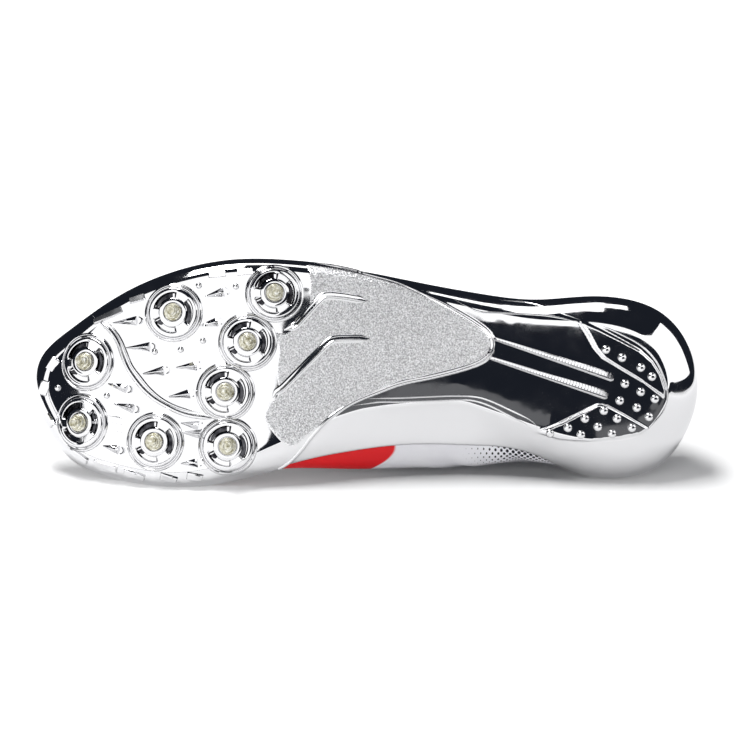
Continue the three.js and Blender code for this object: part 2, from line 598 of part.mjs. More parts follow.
function makeReceptacle(well) {
  const base = HUB_HEIGHT - BORE_DEPTH + GAP;
  const top = base + RECEPTACLE_HEIGHT;
  const profile = [[THREAD_RADIUS, base], [RECEPTACLE_RADIUS, base], [RECEPTACLE_RADIUS, top],
    [THREAD_RADIUS, top], [THREAD_RADIUS, base]];
  return turned(profile, wellPlace(well), 12);
}

function makeSpike(well) {
  const seat = HUB_HEIGHT - BORE_DEPTH + GAP + RECEPTACLE_HEIGHT + GAP;
  const tip = HUB_HEIGHT + SPIKE_HEIGHT;
  const tiers = [0.85, 0.6]; // radius of each tier, as a share of the flange
  const tierHeight = (tip - seat - 0.8) / tiers.length;
  const profile = [[0, seat - SPIKE_STEM], [THREAD_RADIUS - GAP, seat - SPIKE_STEM], [THREAD_RADIUS - GAP, seat],
    [SPIKE_FLANGE_RADIUS, seat], [SPIKE_FLANGE_RADIUS, seat + 0.8]];
  tiers.forEach((share, i) => {
    const radius = share * SPIKE_FLANGE_RADIUS;
    const low = seat + 0.8 + i * tierHeight;
    profile.push([radius, low], [0.9 * radius, low + tierHeight]);
  });
  profile.push([0, tip]);
  return turned(profile, wellPlace(well), 10);
}

const WHITE = new THREE.MeshStandardMaterial({ color: 0xf1f0f4, roughness: 0.55, metalness: 0 });
const PLATED = new THREE.MeshStandardMaterial({ color: 0xdfe1e6, roughness: 0.06, metalness: 1 });
const STEEL = new THREE.MeshStandardMaterial({ color: 0xb9bab8, roughness: 0.25, metalness: 1 });
const PIN = new THREE.MeshStandardMaterial({ color: 0xcfc8b4, roughness: 0.3, metalness: 0.5 });
const LINING = new THREE.MeshStandardMaterial({ color: 0x2b2c30, roughness: 0.9, metalness: 0 });
const CORD = new THREE.MeshStandardMaterial({ color: 0xf4f4f4, roughness: 0.8, metalness: 0 });

const parts = [
  { name: "outsole", solid: makeOutsole(), material: PLATED },
  { name: "upper", solid: makeUpper(), material: WHITE },
  { name: "insole", solid: makeInsole(), material: LINING },
  { name: "tongue", solid: makeTongue(), material: WHITE },
  { name: "lace", solid: makeLace(), material: CORD },
  ...WELLS.flatMap((well, i) => [
    { name: `receptacle_${i + 1}`, solid: makeReceptacle(well), material: STEEL },
    { name: `spike_${i + 1}`, solid: makeSpike(well), material: PIN },
  ]),
];

function pointsOf(solids) {
  return solids.flatMap((solid) => {
    const position = geometryOf(solid).getAttribute("position");
    return Array.from({ length: position.count }, (_, i) => new THREE.Vector3().fromBufferAttribute(position, i));
  });
}

// The way down in the shoe's frame when it lies on its medial side. It first leans on its upper, and rolls
// to the face of its hull that the line down from its balance point goes out through.
function wayDown(points, balance) {
  const faces = new ConvexHull().setFromPoints(points).faces;
  let down = new THREE.Vector3(0, -1, 0.4).normalize();
  for (let turn = 0; turn < 12; turn++) {
    let nearest = Infinity;
    let next = down;
    for (const face of faces) {
      const facing = face.normal.dot(down);
      const distance = (face.constant - face.normal.dot(balance)) / facing;
      if (facing > 1e-6 && distance < nearest) {
        nearest = distance;
        next = face.normal.clone();
      }
    }
    if (next.distanceTo(down) < 1e-6) break;
    down = next;
  }
  return down;
}

const outsideParts = parts.filter(({ name }) => ["outsole", "upper"].includes(name));
const balancePoint = new THREE.Vector3(0.55 * LENGTH, 0.07 * BALL_WIDTH, 0.22 * INSTEP_HEIGHT);
const down = wayDown(pointsOf(outsideParts.map(({ solid }) => solid)), balancePoint);

// Lying down, the toe points along -X, the sole faces -Y and the medial side rests on the floor
const lyingUp = down.clone().negate();
const lyingX = new THREE.Vector3(-1, 0, 0).addScaledVector(lyingUp, lyingUp.x).normalize();
const lyingY = lyingUp.clone().cross(lyingX);
const lying = new THREE.Matrix4().makeBasis(lyingX, lyingY, lyingUp).transpose();

const group = new THREE.Group();
const lowest = Math.max(...pointsOf(outsideParts.map(({ solid }) => solid)).map((p) => p.dot(down)));
const slabSize = 2 * LENGTH;
const slab = new THREE.BoxGeometry(slabSize, slabSize, slabSize).translate(0, 0, -slabSize / 2);
const turnUp = new THREE.Quaternion().setFromUnitVectors(new THREE.Vector3(0, 0, 1), lyingUp);
slab.applyQuaternion(turnUp).translate(...down.clone().multiplyScalar(lowest - FLOOR_FLAT).toArray());
const floor = solidOf(slab);
for (const part of parts) {
  const touches = outsideParts.includes(part);
  const mesh = new THREE.Mesh(geometryOf(touches ? part.solid.subtract(floor) : part.solid), part.material);
  mesh.name = part.name;
  group.add(mesh);
}
group.quaternion.setFromRotationMatrix(lying);
group.updateMatrixWorld(true);
const box = new THREE.Box3().setFromObject(group, true);
const centre = box.getCenter(new THREE.Vector3());
group.position.set(-centre.x, -centre.y, -box.min.z);
group.updateMatrixWorld(true);

export default group;
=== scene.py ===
import math

import bpy
import numpy as np
from mathutils import Matrix, Vector
from mathutils.bvhtree import BVHTree


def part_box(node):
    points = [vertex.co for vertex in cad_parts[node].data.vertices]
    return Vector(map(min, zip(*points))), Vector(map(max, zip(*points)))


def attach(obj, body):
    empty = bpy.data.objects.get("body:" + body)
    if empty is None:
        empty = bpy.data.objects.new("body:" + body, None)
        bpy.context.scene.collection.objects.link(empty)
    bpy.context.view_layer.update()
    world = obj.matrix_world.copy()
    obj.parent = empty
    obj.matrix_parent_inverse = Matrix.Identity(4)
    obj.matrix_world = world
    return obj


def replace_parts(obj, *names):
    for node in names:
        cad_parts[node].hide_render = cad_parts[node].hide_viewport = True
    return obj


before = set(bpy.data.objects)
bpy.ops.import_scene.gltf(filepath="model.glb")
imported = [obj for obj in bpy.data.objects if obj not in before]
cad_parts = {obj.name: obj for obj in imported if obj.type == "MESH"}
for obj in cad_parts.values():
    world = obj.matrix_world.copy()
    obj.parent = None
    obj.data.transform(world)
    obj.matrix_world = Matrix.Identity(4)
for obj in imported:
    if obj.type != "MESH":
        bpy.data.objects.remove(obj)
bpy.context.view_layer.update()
scene = bpy.context.scene

# The last and the shell, in millimetres
LENGTH = 276
BALL_WIDTH = 94
HEEL_WIDTH = 75
COLLAR_WIDTH = 55
COLLAR_HEIGHT = 70
INSTEP_HEIGHT = 79
BULGE_HEIGHT = 20
SOLE_BASE = 4.2
ARCH_RISE = 15
TOE_SPRING = 21
CROWN = 1.2
GAP = 0.3
UPPER_WALL = 1.4
LASTING_MARGIN = 9
SHELL_WALL = 1.7
PLATE_STEP = 1.1
HEEL_STEP = 0.8
INSOLE_WALL = 2.4
INSOLE_EDGE = 3
TONGUE_WALL = 2
TONGUE_SLACK = 0.6
HUB_HEIGHT = 2.3
BORE_DEPTH = 3.4
RECEPTACLE_RADIUS = 3.7
RECEPTACLE_HEIGHT = 2.7
THREAD_RADIUS = 2.2
SPIKE_RADIUS = 3.5
SPIKE_HEIGHT = 5.2
LACE_WIDTH = 6
LACE_WALL = 1.6
LACE_LIFT = 0.7
STAY_LEVEL = 1.64
HEM_LEVEL = 1.87
STITCH_PITCH = 3.1
DOT_PITCH = 2.45
HEEL_DISH = 0.20

# The pose: where the standing shoe's axes and origin lie in the row frame
POSE = np.array([
    [-0.999711294, -0.022889337, 0.007307968, 138.161126],
    [0.0, 0.304148215, 0.952624723, -38.334532],
    [-0.024027654, 0.952349695, -0.304060406, 44.541532],
])

def pairs(*numbers):
    return list(zip(numbers[::2], numbers[1::2]))


# Rows of the last from heel to toe, lateral side and medial side: outline x and y, share of the ball's
# width, height of the widest line, tuck of the feather line, the shell's edge, the rim's x, y and z, its
# high share, the two handles, the slope at the rim and the turn at the feather line
COLUMNS = "x y ball wide tuck edge rimX rimY rimZ high up down slope turn".split()
LATERAL = [
    [0.007, 0.053, 0, 0.7, 0.16, 1.42, 0.04, 0.076, 1, 0, 0.23, 0.2, 80, 35],
    [0.024, 0.293, 0, 0.7, 0.17, 1.4, 0.051, 0.31, 0.985, 0, 0.23, 0.2, 80, 35],
    [0.072, 0.464, 0, 0.68, 0.17, 1.32, 0.098, 0.49, 0.945, 0, 0.2, 0.2, 80, 35],
    [0.152, 0.523, 0, 0.64, 0.145, 1.16, 0.167, 0.555, 0.895, 0, 0.18, 0.18, 82, 35],
    [0.239, 0.482, 0.2, 0.55, 0.1, 0.96, 0.232, 0.565, 0.875, 0, 0.16, 0.18, 80, 35],
    [0.326, 0.49, 0.4, 0.5, 0.073, 0.88, 0.297, 0.535, 0.915, 0, 0.16, 0.18, 72, 35],
    [0.42, 0.521, 0.6, 0.45, 0.058, 0.85, 0.36, 0.455, 0.92, 1, 0.18, 0.2, 62, 25],
    [0.514, 0.55, 0.8, 0.42, 0.045, 0.85, 0.406, 0.345, 0.99, 1, 0.2, 0.23, 54, 10],
    [0.609, 0.557, 1, 0.4, 0.037, 0.88, 0.471, 0.28, 0.94, 1, 0.2, 0.25, 46, 2],
    [0.699, 0.56, 1, 0.38, 0.037, 0.92, 0.533, 0.245, 0.87, 1, 0.19, 0.28, 40, 0],
    [0.783, 0.511, 1, 0.36, 0.037, 0.94, 0.583, 0.22, 0.805, 1, 0.18, 0.33, 34, 0],
    [0.864, 0.413, 1, 0.36, 0.037, 0.94, 0.627, 0.19, 0.755, 1, 0.165, 0.4, 28, 0],
    [0.935, 0.28, 1, 0.36, 0.042, 0.94, 0.66, 0.155, 0.715, 1, 0.15, 0.48, 24, 0],
    [0.98, 0.17, 1, 0.36, 0.048, 0.97, 0.68, 0.095, 0.695, 1, 0.145, 0.56, 22, 0],
    [0.993, 0.034, 1, 0.36, 0.05, 1, 0.687, 0.027, 0.685, 1, 0.14, 0.58, 21, 0],
]
MEDIAL = [
    [0.024, -0.193, 0, 0.7, 0.17, 1.4, 0.051, -0.165, 0.985, 0, 0.23, 0.2, 80, 35],
    [0.071, -0.388, 0, 0.7, 0.18, 1.32, 0.098, -0.355, 0.95, 0, 0.2, 0.2, 80, 35],
    [0.152, -0.434, 0, 0.74, 0.175, 1.12, 0.167, -0.45, 0.905, 0, 0.18, 0.18, 82, 35],
    [0.243, -0.346, 0.2, 0.85, 0.165, 0.56, 0.232, -0.462, 0.89, 0, 0.16, 0.18, 80, 36],
    [0.333, -0.348, 0.4, 0.92, 0.3, 0.47, 0.297, -0.43, 0.94, 0, 0.16, 0.18, 72, 36],
    [0.428, -0.344, 0.6, 0.95, 0.3, 0.44, 0.36, -0.327, 0.93, 1, 0.18, 0.2, 62, 36],
    [0.522, -0.337, 0.8, 0.9, 0.255, 0.47, 0.406, -0.227, 1, 1, 0.2, 0.23, 54, 34],
    [0.616, -0.323, 1, 0.68, 0.13, 0.56, 0.471, -0.18, 0.95, 1, 0.2, 0.25, 46, 20],
    [0.703, -0.354, 1, 0.45, 0.055, 0.84, 0.533, -0.155, 0.88, 1, 0.19, 0.28, 40, 5],
    [0.786, -0.38, 1, 0.38, 0.043, 0.93, 0.583, -0.136, 0.815, 1, 0.18, 0.33, 34, 0],
    [0.862, -0.345, 1, 0.36, 0.042, 0.94, 0.627, -0.118, 0.763, 1, 0.165, 0.4, 28, 0],
    [0.933, -0.261, 1, 0.36, 0.045, 0.94, 0.66, -0.09, 0.72, 1, 0.15, 0.48, 24, 0],
    [0.977, -0.1, 1, 0.36, 0.048, 0.97, 0.68, -0.042, 0.697, 1, 0.145, 0.56, 22, 0],
]
SPINE = [0.087, 0.1, 0.12, 0.16, 0.24, 0.328, 0.42, 0.515, 0.605, 0.69, 0.765, 0.83, 0.875, 0.9, 0.91]
PLATE_EDGE = pairs(
    0.598, 0.583, 0.561, 0.567, 0.524, 0.545, 0.486, 0.518, 0.449, 0.487, 0.404, 0.426, 0.374, 0.382, 0.337,
    0.317, 0.316, 0.266, 0.31, 0.215, 0.315, 0.169, 0.33, 0.134, 0.36, 0.103, 0.402, 0.072, 0.447, 0.044,
    0.482, 0.006, 0.521, -0.043, 0.554, -0.109, 0.581, -0.191, 0.597, -0.25, 0.618, -0.309, 0.651, -0.362,
    0.688, -0.447
)
HEEL_FACETS = [
    pairs(0.18, 0.395, 0.168, 0.324, 0.157, 0.245, 0.145, 0.191, 0.121, 0.135, 0.091, 0.068, 0.056, -0.025,
          0.054, 0.013, 0.061, 0.095, 0.073, 0.167, 0.091, 0.228, 0.121, 0.289, 0.15, 0.345),
    pairs(0.244, -0.215, 0.211, -0.171, 0.181, -0.117, 0.154, -0.068, 0.141, -0.075, 0.114, -0.129, 0.08,
          -0.201, 0.092, -0.228, 0.122, -0.249, 0.167, -0.265, 0.211, -0.252),
]
WELLS = pairs(
    0.785, 0.351, 0.635, 0.433, 0.675, 0.22, 0.708, 0.003, 0.705, -0.233, 0.813, -0.211, 0.925, -0.121,
    0.916, 0.144
)
EYELETS = [7.35, 8.1, 8.9, 9.75, 10.65, 11.55]
EYELET_LEVEL = 1.9
TONGUE_LEVEL = 1.78
LACE_REACH = 0.66

# What lies on the sole, in millimetres of the plan
BLAST_ZONE = pairs(
    165, 54.2, 144.5, 51, 123.9, 45.8, 111.5, 40, 103.3, 35.9, 93, 29.6, 87.2, 25, 85.6, 20, 86.9, 15.9,
    91.1, 12.6, 99.3, 9.7, 115.9, 5.6, 124.2, 3.9, 132.4, 0.1, 139.8, -3.6, 146.8, -7, 155, -13.1, 162,
    -18.4, 167.3, -22.4, 172.3, -21.8, 177.6, -16.4, 180.8, -10.4, 178.2, -4.2, 174.9, -0.1, 175.7, 8.5,
    174.8, 17.5, 177.2, 25.7, 171.5, 25.3, 167, 28.6, 162.8, 35, 161.8, 42.3, 162.6, 48.9
)
STEP_LINES = [
    pairs(250.6, 32.8, 245.8, 28.7, 242.4, 25.3, 239.8, 21.1, 238.1, 16.1, 236, 11.1, 233.1, 6.5, 229.4,
          1.9, 224.8, -2.2, 219.9, -5.2, 215, -7.7, 210.1, -9.3, 203.9, -10.2, 197.8, -10.6),
    pairs(244.1, 29.9, 240.7, 25.7, 238.2, 21.5, 236.1, 16.5, 234, 11.5, 230.6, 6.9, 226.9, 2.3, 222.4,
          -1.8, 217.4, -4.8, 211.7, -6.9, 206, -8.1),
]
# Bars and lugs, each from its tail to its head
TEETH = pairs(*pairs(
    242, 29.4, 231.9, 30, 203.8, 39.4, 196, 41.4, 205.9, 27.5, 198.5, 29.1, 236.5, 18.9, 226.5, 19.1, 215.7,
    10.4, 207.1, 11.1, 229.4, 8.1, 220.7, 9.2, 218.7, -1.5, 210, -0.3, 244, 4.3, 236.1, 2.1, 241.5, -4,
    233.2, -6.2, 246.2, -21.1, 239.5, -22.9, 213.8, -28.9, 206.9, -28.5, 213.8, -12.2, 206.4, -13.5, 213.8,
    -16, 205.5, -17
))
FINE_BARS = pairs(*pairs(244, -8.8, 238.2, -9.8, 244, -10.9, 238.2, -12.2, 243.2, -14.2, 238.2, -15.5))
HEEL_RIBS = pairs(*pairs(86, 23, 35.9, 6, 86.9, 14.7, 38.5, -1.4))
EDGE_BARS_LATERAL = pairs(*pairs(
    250.5, 29.8, 237.6, 35.2, 235.5, 38, 228, 40.1, 202.9, 48.3, 194.6, 49.1, 191.2, 49.3, 183.5, 49.9
))
EDGE_BARS_TOE = pairs(*pairs(265.2, 15.8, 269.4, 10.2, 270.1, 7, 272.3, 0))
EDGE_BARS_MEDIAL = pairs(*pairs(
    270.6, -7.2, 267.3, -13, 263.5, -23.7, 252.2, -27.8, 250.5, -27.8, 239.7, -31.1, 238, -31.5, 228.4,
    -35.2, 223, -33.6, 215, -36, 212.1, -33.6, 204.2, -36
))
BUMPS = pairs(
    206.3, 44, 191.1, 43.5, 213.7, 17.7, 204.6, 21.3, 265.4, 3.3, 244.4, -0.6, 224.4, 17, 216.3, -23.6,
    248.7, -11.2
)
NUBS = pairs(
    39.1, 17.6, 32.5, 14.2, 24.8, 10.1, 20.3, 6.3, 31.4, 3.5, 24.9, 0.1, 19.1, -2.8, 33.6, -3.5, 26.6, -6.4,
    21.6, -10.2, 40.2, -7.6, 48, -10.8, 34.8, -10.9, 55, -14.5, 42.7, -14.2, 28.7, -14.7, 62.4, -16.8, 49.7,
    -17.4, 36.9, -17.1
)
FLEX_RIBS = [
    pairs(176.5, -2.2, 174.9, -0.1, 171.6, 2.3, 165.1, 8.9, 159.3, 14.7, 154.4, 19.6, 151.1, 21.7, 144.6,
          22.2, 136.4, 22.3),
    pairs(171.5, 25.7, 167, 27.3, 163.7, 30.7, 160.1, 34.8, 156.4, 38.6, 153.5, 39.8, 147.8, 39.5, 142.5,
          38.7, 137.1, 38),
]
SHELL_CREASES = [
    pairs(143.9, -5.2, 138.6, -4.4, 132.4, -3.5, 124.2, -3.4, 111.8, -3, 99.4, -2.5, 93.2, -3, 87, -5.1,
          78.8, -9.3, 72.6, -12.6, 69.7, -15.1),
    pairs(138.6, -2.3, 124.2, -1.8, 103.5, -0.9, 93.2, -1.3, 87, -3, 78.8, -6.8, 70.6, -11, 67.3, -14.3),
    pairs(101.1, 39, 95.8, 36, 90.9, 33.9, 82.6, 33.4, 66, 32.5, 57.8, 31.1, 49.6, 28.9),
    pairs(82.3, 39.3, 69.9, 38, 59.7, 34.2, 49.6, 30.2),
]
FACET_EDGES = [
    pairs(49.6, 28.9, 46.4, 24.3, 43.2, 18.4, 40, 14.3, 33.4, 10.1, 25.2, 5.1, 15.4, -1.9),
    pairs(67.3, -15.9, 58.3, -12.8, 50, -8.8, 42.6, -5.1, 38.9, -5.6, 31.5, -9.7, 22.1, -15.1),
    pairs(41.4, 28, 33.2, 24.2, 25, 19.6, 18.9, 13.4, 15.3, 5.9, 13.7, -1.1, 15.3, -7.3, 19.1, -12.2, 22.1,
          -15.5),
]

# Creases of the upper: station, slant, depth, half width, and the levels where they end
CREASES = [
    (10.35, 0.55, 0.55, 0.1, 0.9, 1.95), (10.95, 0.35, 0.7, 0.11, 0.8, 2), (11.6, 0.2, 0.5, 0.09, 0.9, 2),
    (4.3, -0.7, 0.5, 0.13, 0.6, 1.75), (5.3, -0.9, 0.6, 0.14, 0.5, 1.8), (2.4, 0.5, 0.35, 0.12, 0.8, 1.7),
]

ROWS = np.array(LATERAL + MEDIAL[::-1], float)
RIBS = len(ROWS)
TOE_ROW = len(SPINE) - 1


# Closed cubic curves through the rows, with no break in their bend
def hulls(values):
    count = len(values)
    matrix = np.zeros((count, count))
    for i in range(count):
        matrix[i, i] = 4 / 6
        matrix[i, (i + 1) % count] = matrix[i, (i - 1) % count] = 1 / 6
    return np.linalg.solve(matrix, values)


ROW_HULLS = hulls(ROWS)
SPINE_HULLS = hulls(np.array([SPINE[i if i <= TOE_ROW else RIBS - i] for i in range(RIBS)], float))


def curve_at(points, row):
    index = np.floor(row).astype(int)
    s = row - index
    a, b, c, d = [points[(index + k) % RIBS] for k in (-1, 0, 1, 2)]
    middle = (3 * s**3 - 6 * s**2 + 4) * b + (-3 * s**3 + 3 * s**2 + 3 * s + 1) * c
    return ((1 - s) ** 3 * a + middle + s**3 * d) / 6


def column(name, row):
    return curve_at(ROW_HULLS[:, COLUMNS.index(name)], np.asarray(row, float))


def unit(v):
    return v / np.linalg.norm(v, axis=-1, keepdims=True)


def smooth(s):
    s = np.clip(s, 0, 1)
    return s * s * (3 - 2 * s)


def smoother(s):
    s = np.clip(s, 0, 1)
    return s**3 * (s * (6 * s - 15) + 10)


# Height of the last's bottom above the ground
def sole_height(x):
    share = x / LENGTH
    toe = np.maximum(0, (share - 0.72) / 0.28) ** 2.2
    rise = smoother((0.7 - share) / 0.4) - 0.18 * smoother((0.32 - share) / 0.2)
    return SOLE_BASE + ARCH_RISE * rise + TOE_SPRING * toe


def foot_width(row):
    return HEEL_WIDTH + (BALL_WIDTH - HEEL_WIDTH) * column("ball", row)


def outline(row):
    return np.stack([column("x", row) * LENGTH, column("y", row) * foot_width(row)], -1)


# The feather point of a rib, where the last's bottom turns up, with the outline and the way out there
def feather(row):
    along = outline(row + 0.01) - outline(row - 0.01)
    out = unit(np.stack([-along[..., 1], along[..., 0]], -1))
    edge = outline(row)
    foot = edge - out * (column("tuck", row) * foot_width(row))[..., None]
    height = sole_height(foot[..., 0]) + CROWN
    return np.concatenate([foot, height[..., None]], -1), edge, out


def spine_point(row):
    x = curve_at(SPINE_HULLS, np.asarray(row, float)) * LENGTH
    y = (feather(row)[0][..., 1] + feather(RIBS - row)[0][..., 1]) / 2
    return np.stack([x, y, sole_height(x)], -1)


def bezier(a, b, c, d, t):
    t = t[..., None]
    return (1 - t) ** 3 * a + 3 * (1 - t) ** 2 * t * b + 3 * (1 - t) * t**2 * c + t**3 * d


# A point of the last: level -1 is the spine, 0 the feather line, 1 the widest line and 2 the rim
def last_point(row, level):
    row, level = np.broadcast_arrays(np.asarray(row, float), np.asarray(level, float))
    foot, edge, out = feather(row)
    spine = spine_point(row)
    low = spine + (foot - spine) * (level + 1)[..., None]
    low[..., 2] = sole_height(low[..., 0]) + CROWN * (level + 1) ** 2
    wide = np.concatenate([edge, (foot[..., 2] + column("wide", row) * BULGE_HEIGHT)[..., None]], -1)
    turn = np.radians(column("turn", row))
    reach = 0.55 * np.linalg.norm(edge - foot[..., :2], axis=-1)
    first = foot.copy()
    first[..., :2] += out * (reach * np.cos(turn))[..., None]
    first[..., 2] += reach * np.sin(turn)
    second = wide.copy()
    share = 0.5 * np.cos(turn)
    second[..., 2] = wide[..., 2] * (1 - share) + foot[..., 2] * share
    side = bezier(foot, first, second, wide, np.clip(level, 0, 1))
    tall = COLLAR_HEIGHT + (INSTEP_HEIGHT - COLLAR_HEIGHT) * np.clip(column("high", row), 0, 1)
    rim = np.stack([column("rimX", row) * LENGTH, column("rimY", row) * COLLAR_WIDTH,
                    column("rimZ", row) * tall], -1)
    slope = np.radians(column("slope", row))
    away = wide - rim
    away[..., 2] = 0
    away = unit(away) * np.cos(slope)[..., None]
    away[..., 2] = -np.sin(slope)
    above = wide.copy()
    above[..., 2] += column("up", row) * INSTEP_HEIGHT
    below = rim + away * (column("down", row) * INSTEP_HEIGHT)[..., None]
    wall = bezier(wide, above, below, rim, np.clip(level - 1, 0, 1))
    return np.where((level < 0)[..., None], low, np.where((level <= 1)[..., None], side, wall))


# The way out of the last. The bottom's normal turns into the wall's over the last part of its width, which
# is short where the bend is to be crisp.
def last_normal(row, level, bend=6):
    row, level = np.broadcast_arrays(np.asarray(row, float), np.asarray(level, float))
    step = 0.02
    side = np.clip(level, step, 2 - step)
    along = last_point(row + step, side) - last_point(row - step, side)
    up = last_point(row, side + step) - last_point(row, side - step)
    wall = unit(np.cross(up, along))
    x = last_point(row, level)[..., 0]
    bottom = unit(np.stack([sole_height(x + 0.5) - sole_height(x - 0.5), 0 * x, 0 * x - 1], -1))
    share = ((np.clip(level, -1, 0) + 1) ** bend)[..., None]
    return np.where((level >= 0)[..., None], wall, unit(bottom + (wall - bottom) * share))


def half_width(row):
    return np.linalg.norm(last_point(row, 0.0) - spine_point(row), axis=-1)


def off_last(row, level, off, bend=6):
    return last_point(row, level) + last_normal(row, level, bend) * np.asarray(off, float)[..., None]


def spaced(points, step):
    """A smooth line through the points, with a point about every step."""
    points = np.asarray(points, float)
    ends = np.vstack([2 * points[0] - points[1], points, 2 * points[-1] - points[-2]])
    fine = []
    for i in range(1, len(ends) - 2):
        a, b, c, d = ends[i - 1 : i + 3]
        for s in np.linspace(0, 1, 12, endpoint=False):
            fine.append(0.5 * (2 * b + (c - a) * s + (2 * a - 5 * b + 4 * c - d) * s**2
                               + (3 * b - a - 3 * c + d) * s**3))
    fine.append(points[-1])
    fine = np.array(fine)
    far = np.concatenate([[0], np.cumsum(np.linalg.norm(np.diff(fine, axis=0), axis=1))])
    count = max(2, int(round(far[-1] / step)) + 1)
    at = np.linspace(0, far[-1], count)
    return np.stack([np.interp(at, far, fine[:, k]) for k in range(fine.shape[1])], -1)


def signed_distance(xy, polygon):
    """Distance to a polygon's edge in the plan, positive inside."""
    ring = np.vstack([polygon, polygon[:1]])
    best = np.full(len(xy), 1e9)
    inside = np.zeros(len(xy), bool)
    for p, q in zip(ring[:-1], ring[1:]):
        d = q - p
        t = np.clip(((xy - p) @ d) / (d @ d), 0, 1)
        best = np.minimum(best, np.linalg.norm(xy - p - t[:, None] * d, axis=1))
        crosses = (p[1] > xy[:, 1]) != (q[1] > xy[:, 1])
        at = p[0] + (xy[:, 1] - p[1]) * (q[0] - p[0]) / (q[1] - p[1] if q[1] != p[1] else 1e-9)
        inside ^= crosses & (xy[:, 0] < at)
    return np.where(inside, best, -best)


def to_row(points):
    laid = np.asarray(points, float) @ POSE[:, :3].T + POSE[:, 3]
    laid[:, 2] = np.maximum(laid[:, 2], 0.0)
    return laid / 1000


def loft(loops, closed=False):
    """A solid through loops of points, capped at its ends or closed on itself."""
    n = len(loops[0])
    faces = []
    for i in range(len(loops) - 1):
        for j in range(n):
            k = (j + 1) % n
            faces.append((i * n + j, i * n + k, (i + 1) * n + k, (i + 1) * n + j))
    end = (len(loops) - 1) * n
    if closed:
        faces += [(end + j, end + (j + 1) % n, (j + 1) % n, j) for j in range(n)]
    else:
        faces += [tuple(range(n))[::-1], tuple(end + j for j in range(n))]
    return np.concatenate([np.asarray(loop, float) for loop in loops]), faces


def volume(points, faces):
    corners = [(face[0], face[i], face[i + 1]) for face in faces for i in range(1, len(face) - 1)]
    a, b, c = points[np.array(corners).T]
    return float(np.einsum("ij,ij->", a, np.cross(b, c)))


def piece(name, solids, material, crease=35, values=None):
    """One object of one or more closed solids, each turned to face out. It rides on the shoe's body."""
    points, faces, start = [], [], 0
    for solid_points, solid_faces in solids:
        solid_points = np.asarray(solid_points, float)
        centred = solid_points - solid_points.mean(0)
        turned = volume(centred, solid_faces) < 0
        faces += [tuple(start + i for i in (face[::-1] if turned else face)) for face in solid_faces]
        points.append(solid_points)
        start += len(solid_points)
    points = np.concatenate(points)
    mesh = bpy.data.meshes.new(name)
    mesh.from_pydata(to_row(points).tolist(), [], faces)
    mesh.update()
    mesh.polygons.foreach_set("use_smooth", [True] * len(mesh.polygons))
    mesh.set_sharp_from_angle(angle=math.radians(crease))
    for key, numbers in (values or {}).items():
        layer = mesh.attributes.new(key, "FLOAT", "POINT")
        layer.data.foreach_set("value", np.asarray(numbers, np.float32))
    mesh.materials.append(material)
    thing = bpy.data.objects.new(name, mesh)
    scene.collection.objects.link(thing)
    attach(thing, "root")
    return thing


# A wall around the whole shoe. It has many faces outside and few inside, and a rounded rim.
class Wall:
    def __init__(self, columns, levels, inner_levels, off, inner_off, bend, spined, rim):
        rows = np.arange(columns) * RIBS / columns
        self.levels = np.stack([levels(row) for row in rows])
        inner = np.stack([inner_levels(row) for row in rows])
        self.rows = np.repeat(rows[:, None], self.levels.shape[1], 1)
        self.normal = last_normal(self.rows, self.levels, bend)
        self.base = last_point(self.rows, self.levels) + self.normal * off
        inner_rows = np.repeat(rows[:, None], inner.shape[1], 1)
        self.inside = off_last(inner_rows, inner, np.full(inner.shape, inner_off), bend)
        self.spined, self.rim = spined, rim

    def mesh(self, lift):
        outer = self.base + self.normal * lift[..., None]
        top_out, top_in = outer[:, -1], self.inside[:, -1]
        middle = (top_out + top_in) / 2
        along = unit(outer[:, -1] - outer[:, -2])
        half = (top_out - top_in) / 2
        turns = np.radians([60, 30, 0, -30, -60])
        lip = np.stack([middle + half * np.sin(t) + along * np.cos(t) * self.rim for t in turns], 1)
        layers = [outer, lip, self.inside[:, ::-1]]
        if not self.spined:
            low = (outer[:, 0] + self.inside[:, 0]) / 2
            layers.append(low[:, None])
        grid = np.concatenate(layers, 1)
        n, m = grid.shape[:2]
        ids = np.arange(n * m).reshape(n, m)
        if self.spined:
            for c in range(n // 2 + 1, n):
                ids[c, 0] = ids[n - c, 0]
                ids[c, m - 1] = ids[n - c, m - 1]
        faces = []
        for c in range(n):
            d = (c + 1) % n
            for j in range(m - 1 if self.spined else m):
                k = (j + 1) % m
                face = [ids[c, j], ids[d, j], ids[d, k], ids[c, k]]
                single = [v for i, v in enumerate(face) if v != face[i - 1]]
                if len(single) > 2:
                    faces.append(tuple(int(v) for v in single))
        return grid.reshape(-1, 3), faces, outer.shape[1]


# The shell, with the forefoot plate and the heel's facets raised on it
SHELL_COLUMNS = 784
bottom_steps = 1 - np.linspace(1, 0, 54) ** 1.25


def shell_levels(row):
    return np.concatenate([bottom_steps - 1, np.linspace(0, column("edge", row), 23)[1:]])


def shell_inner(row):
    return np.concatenate([[-1, -0.6, -0.2, 0], np.linspace(0, column("edge", row), 5)[1:]])


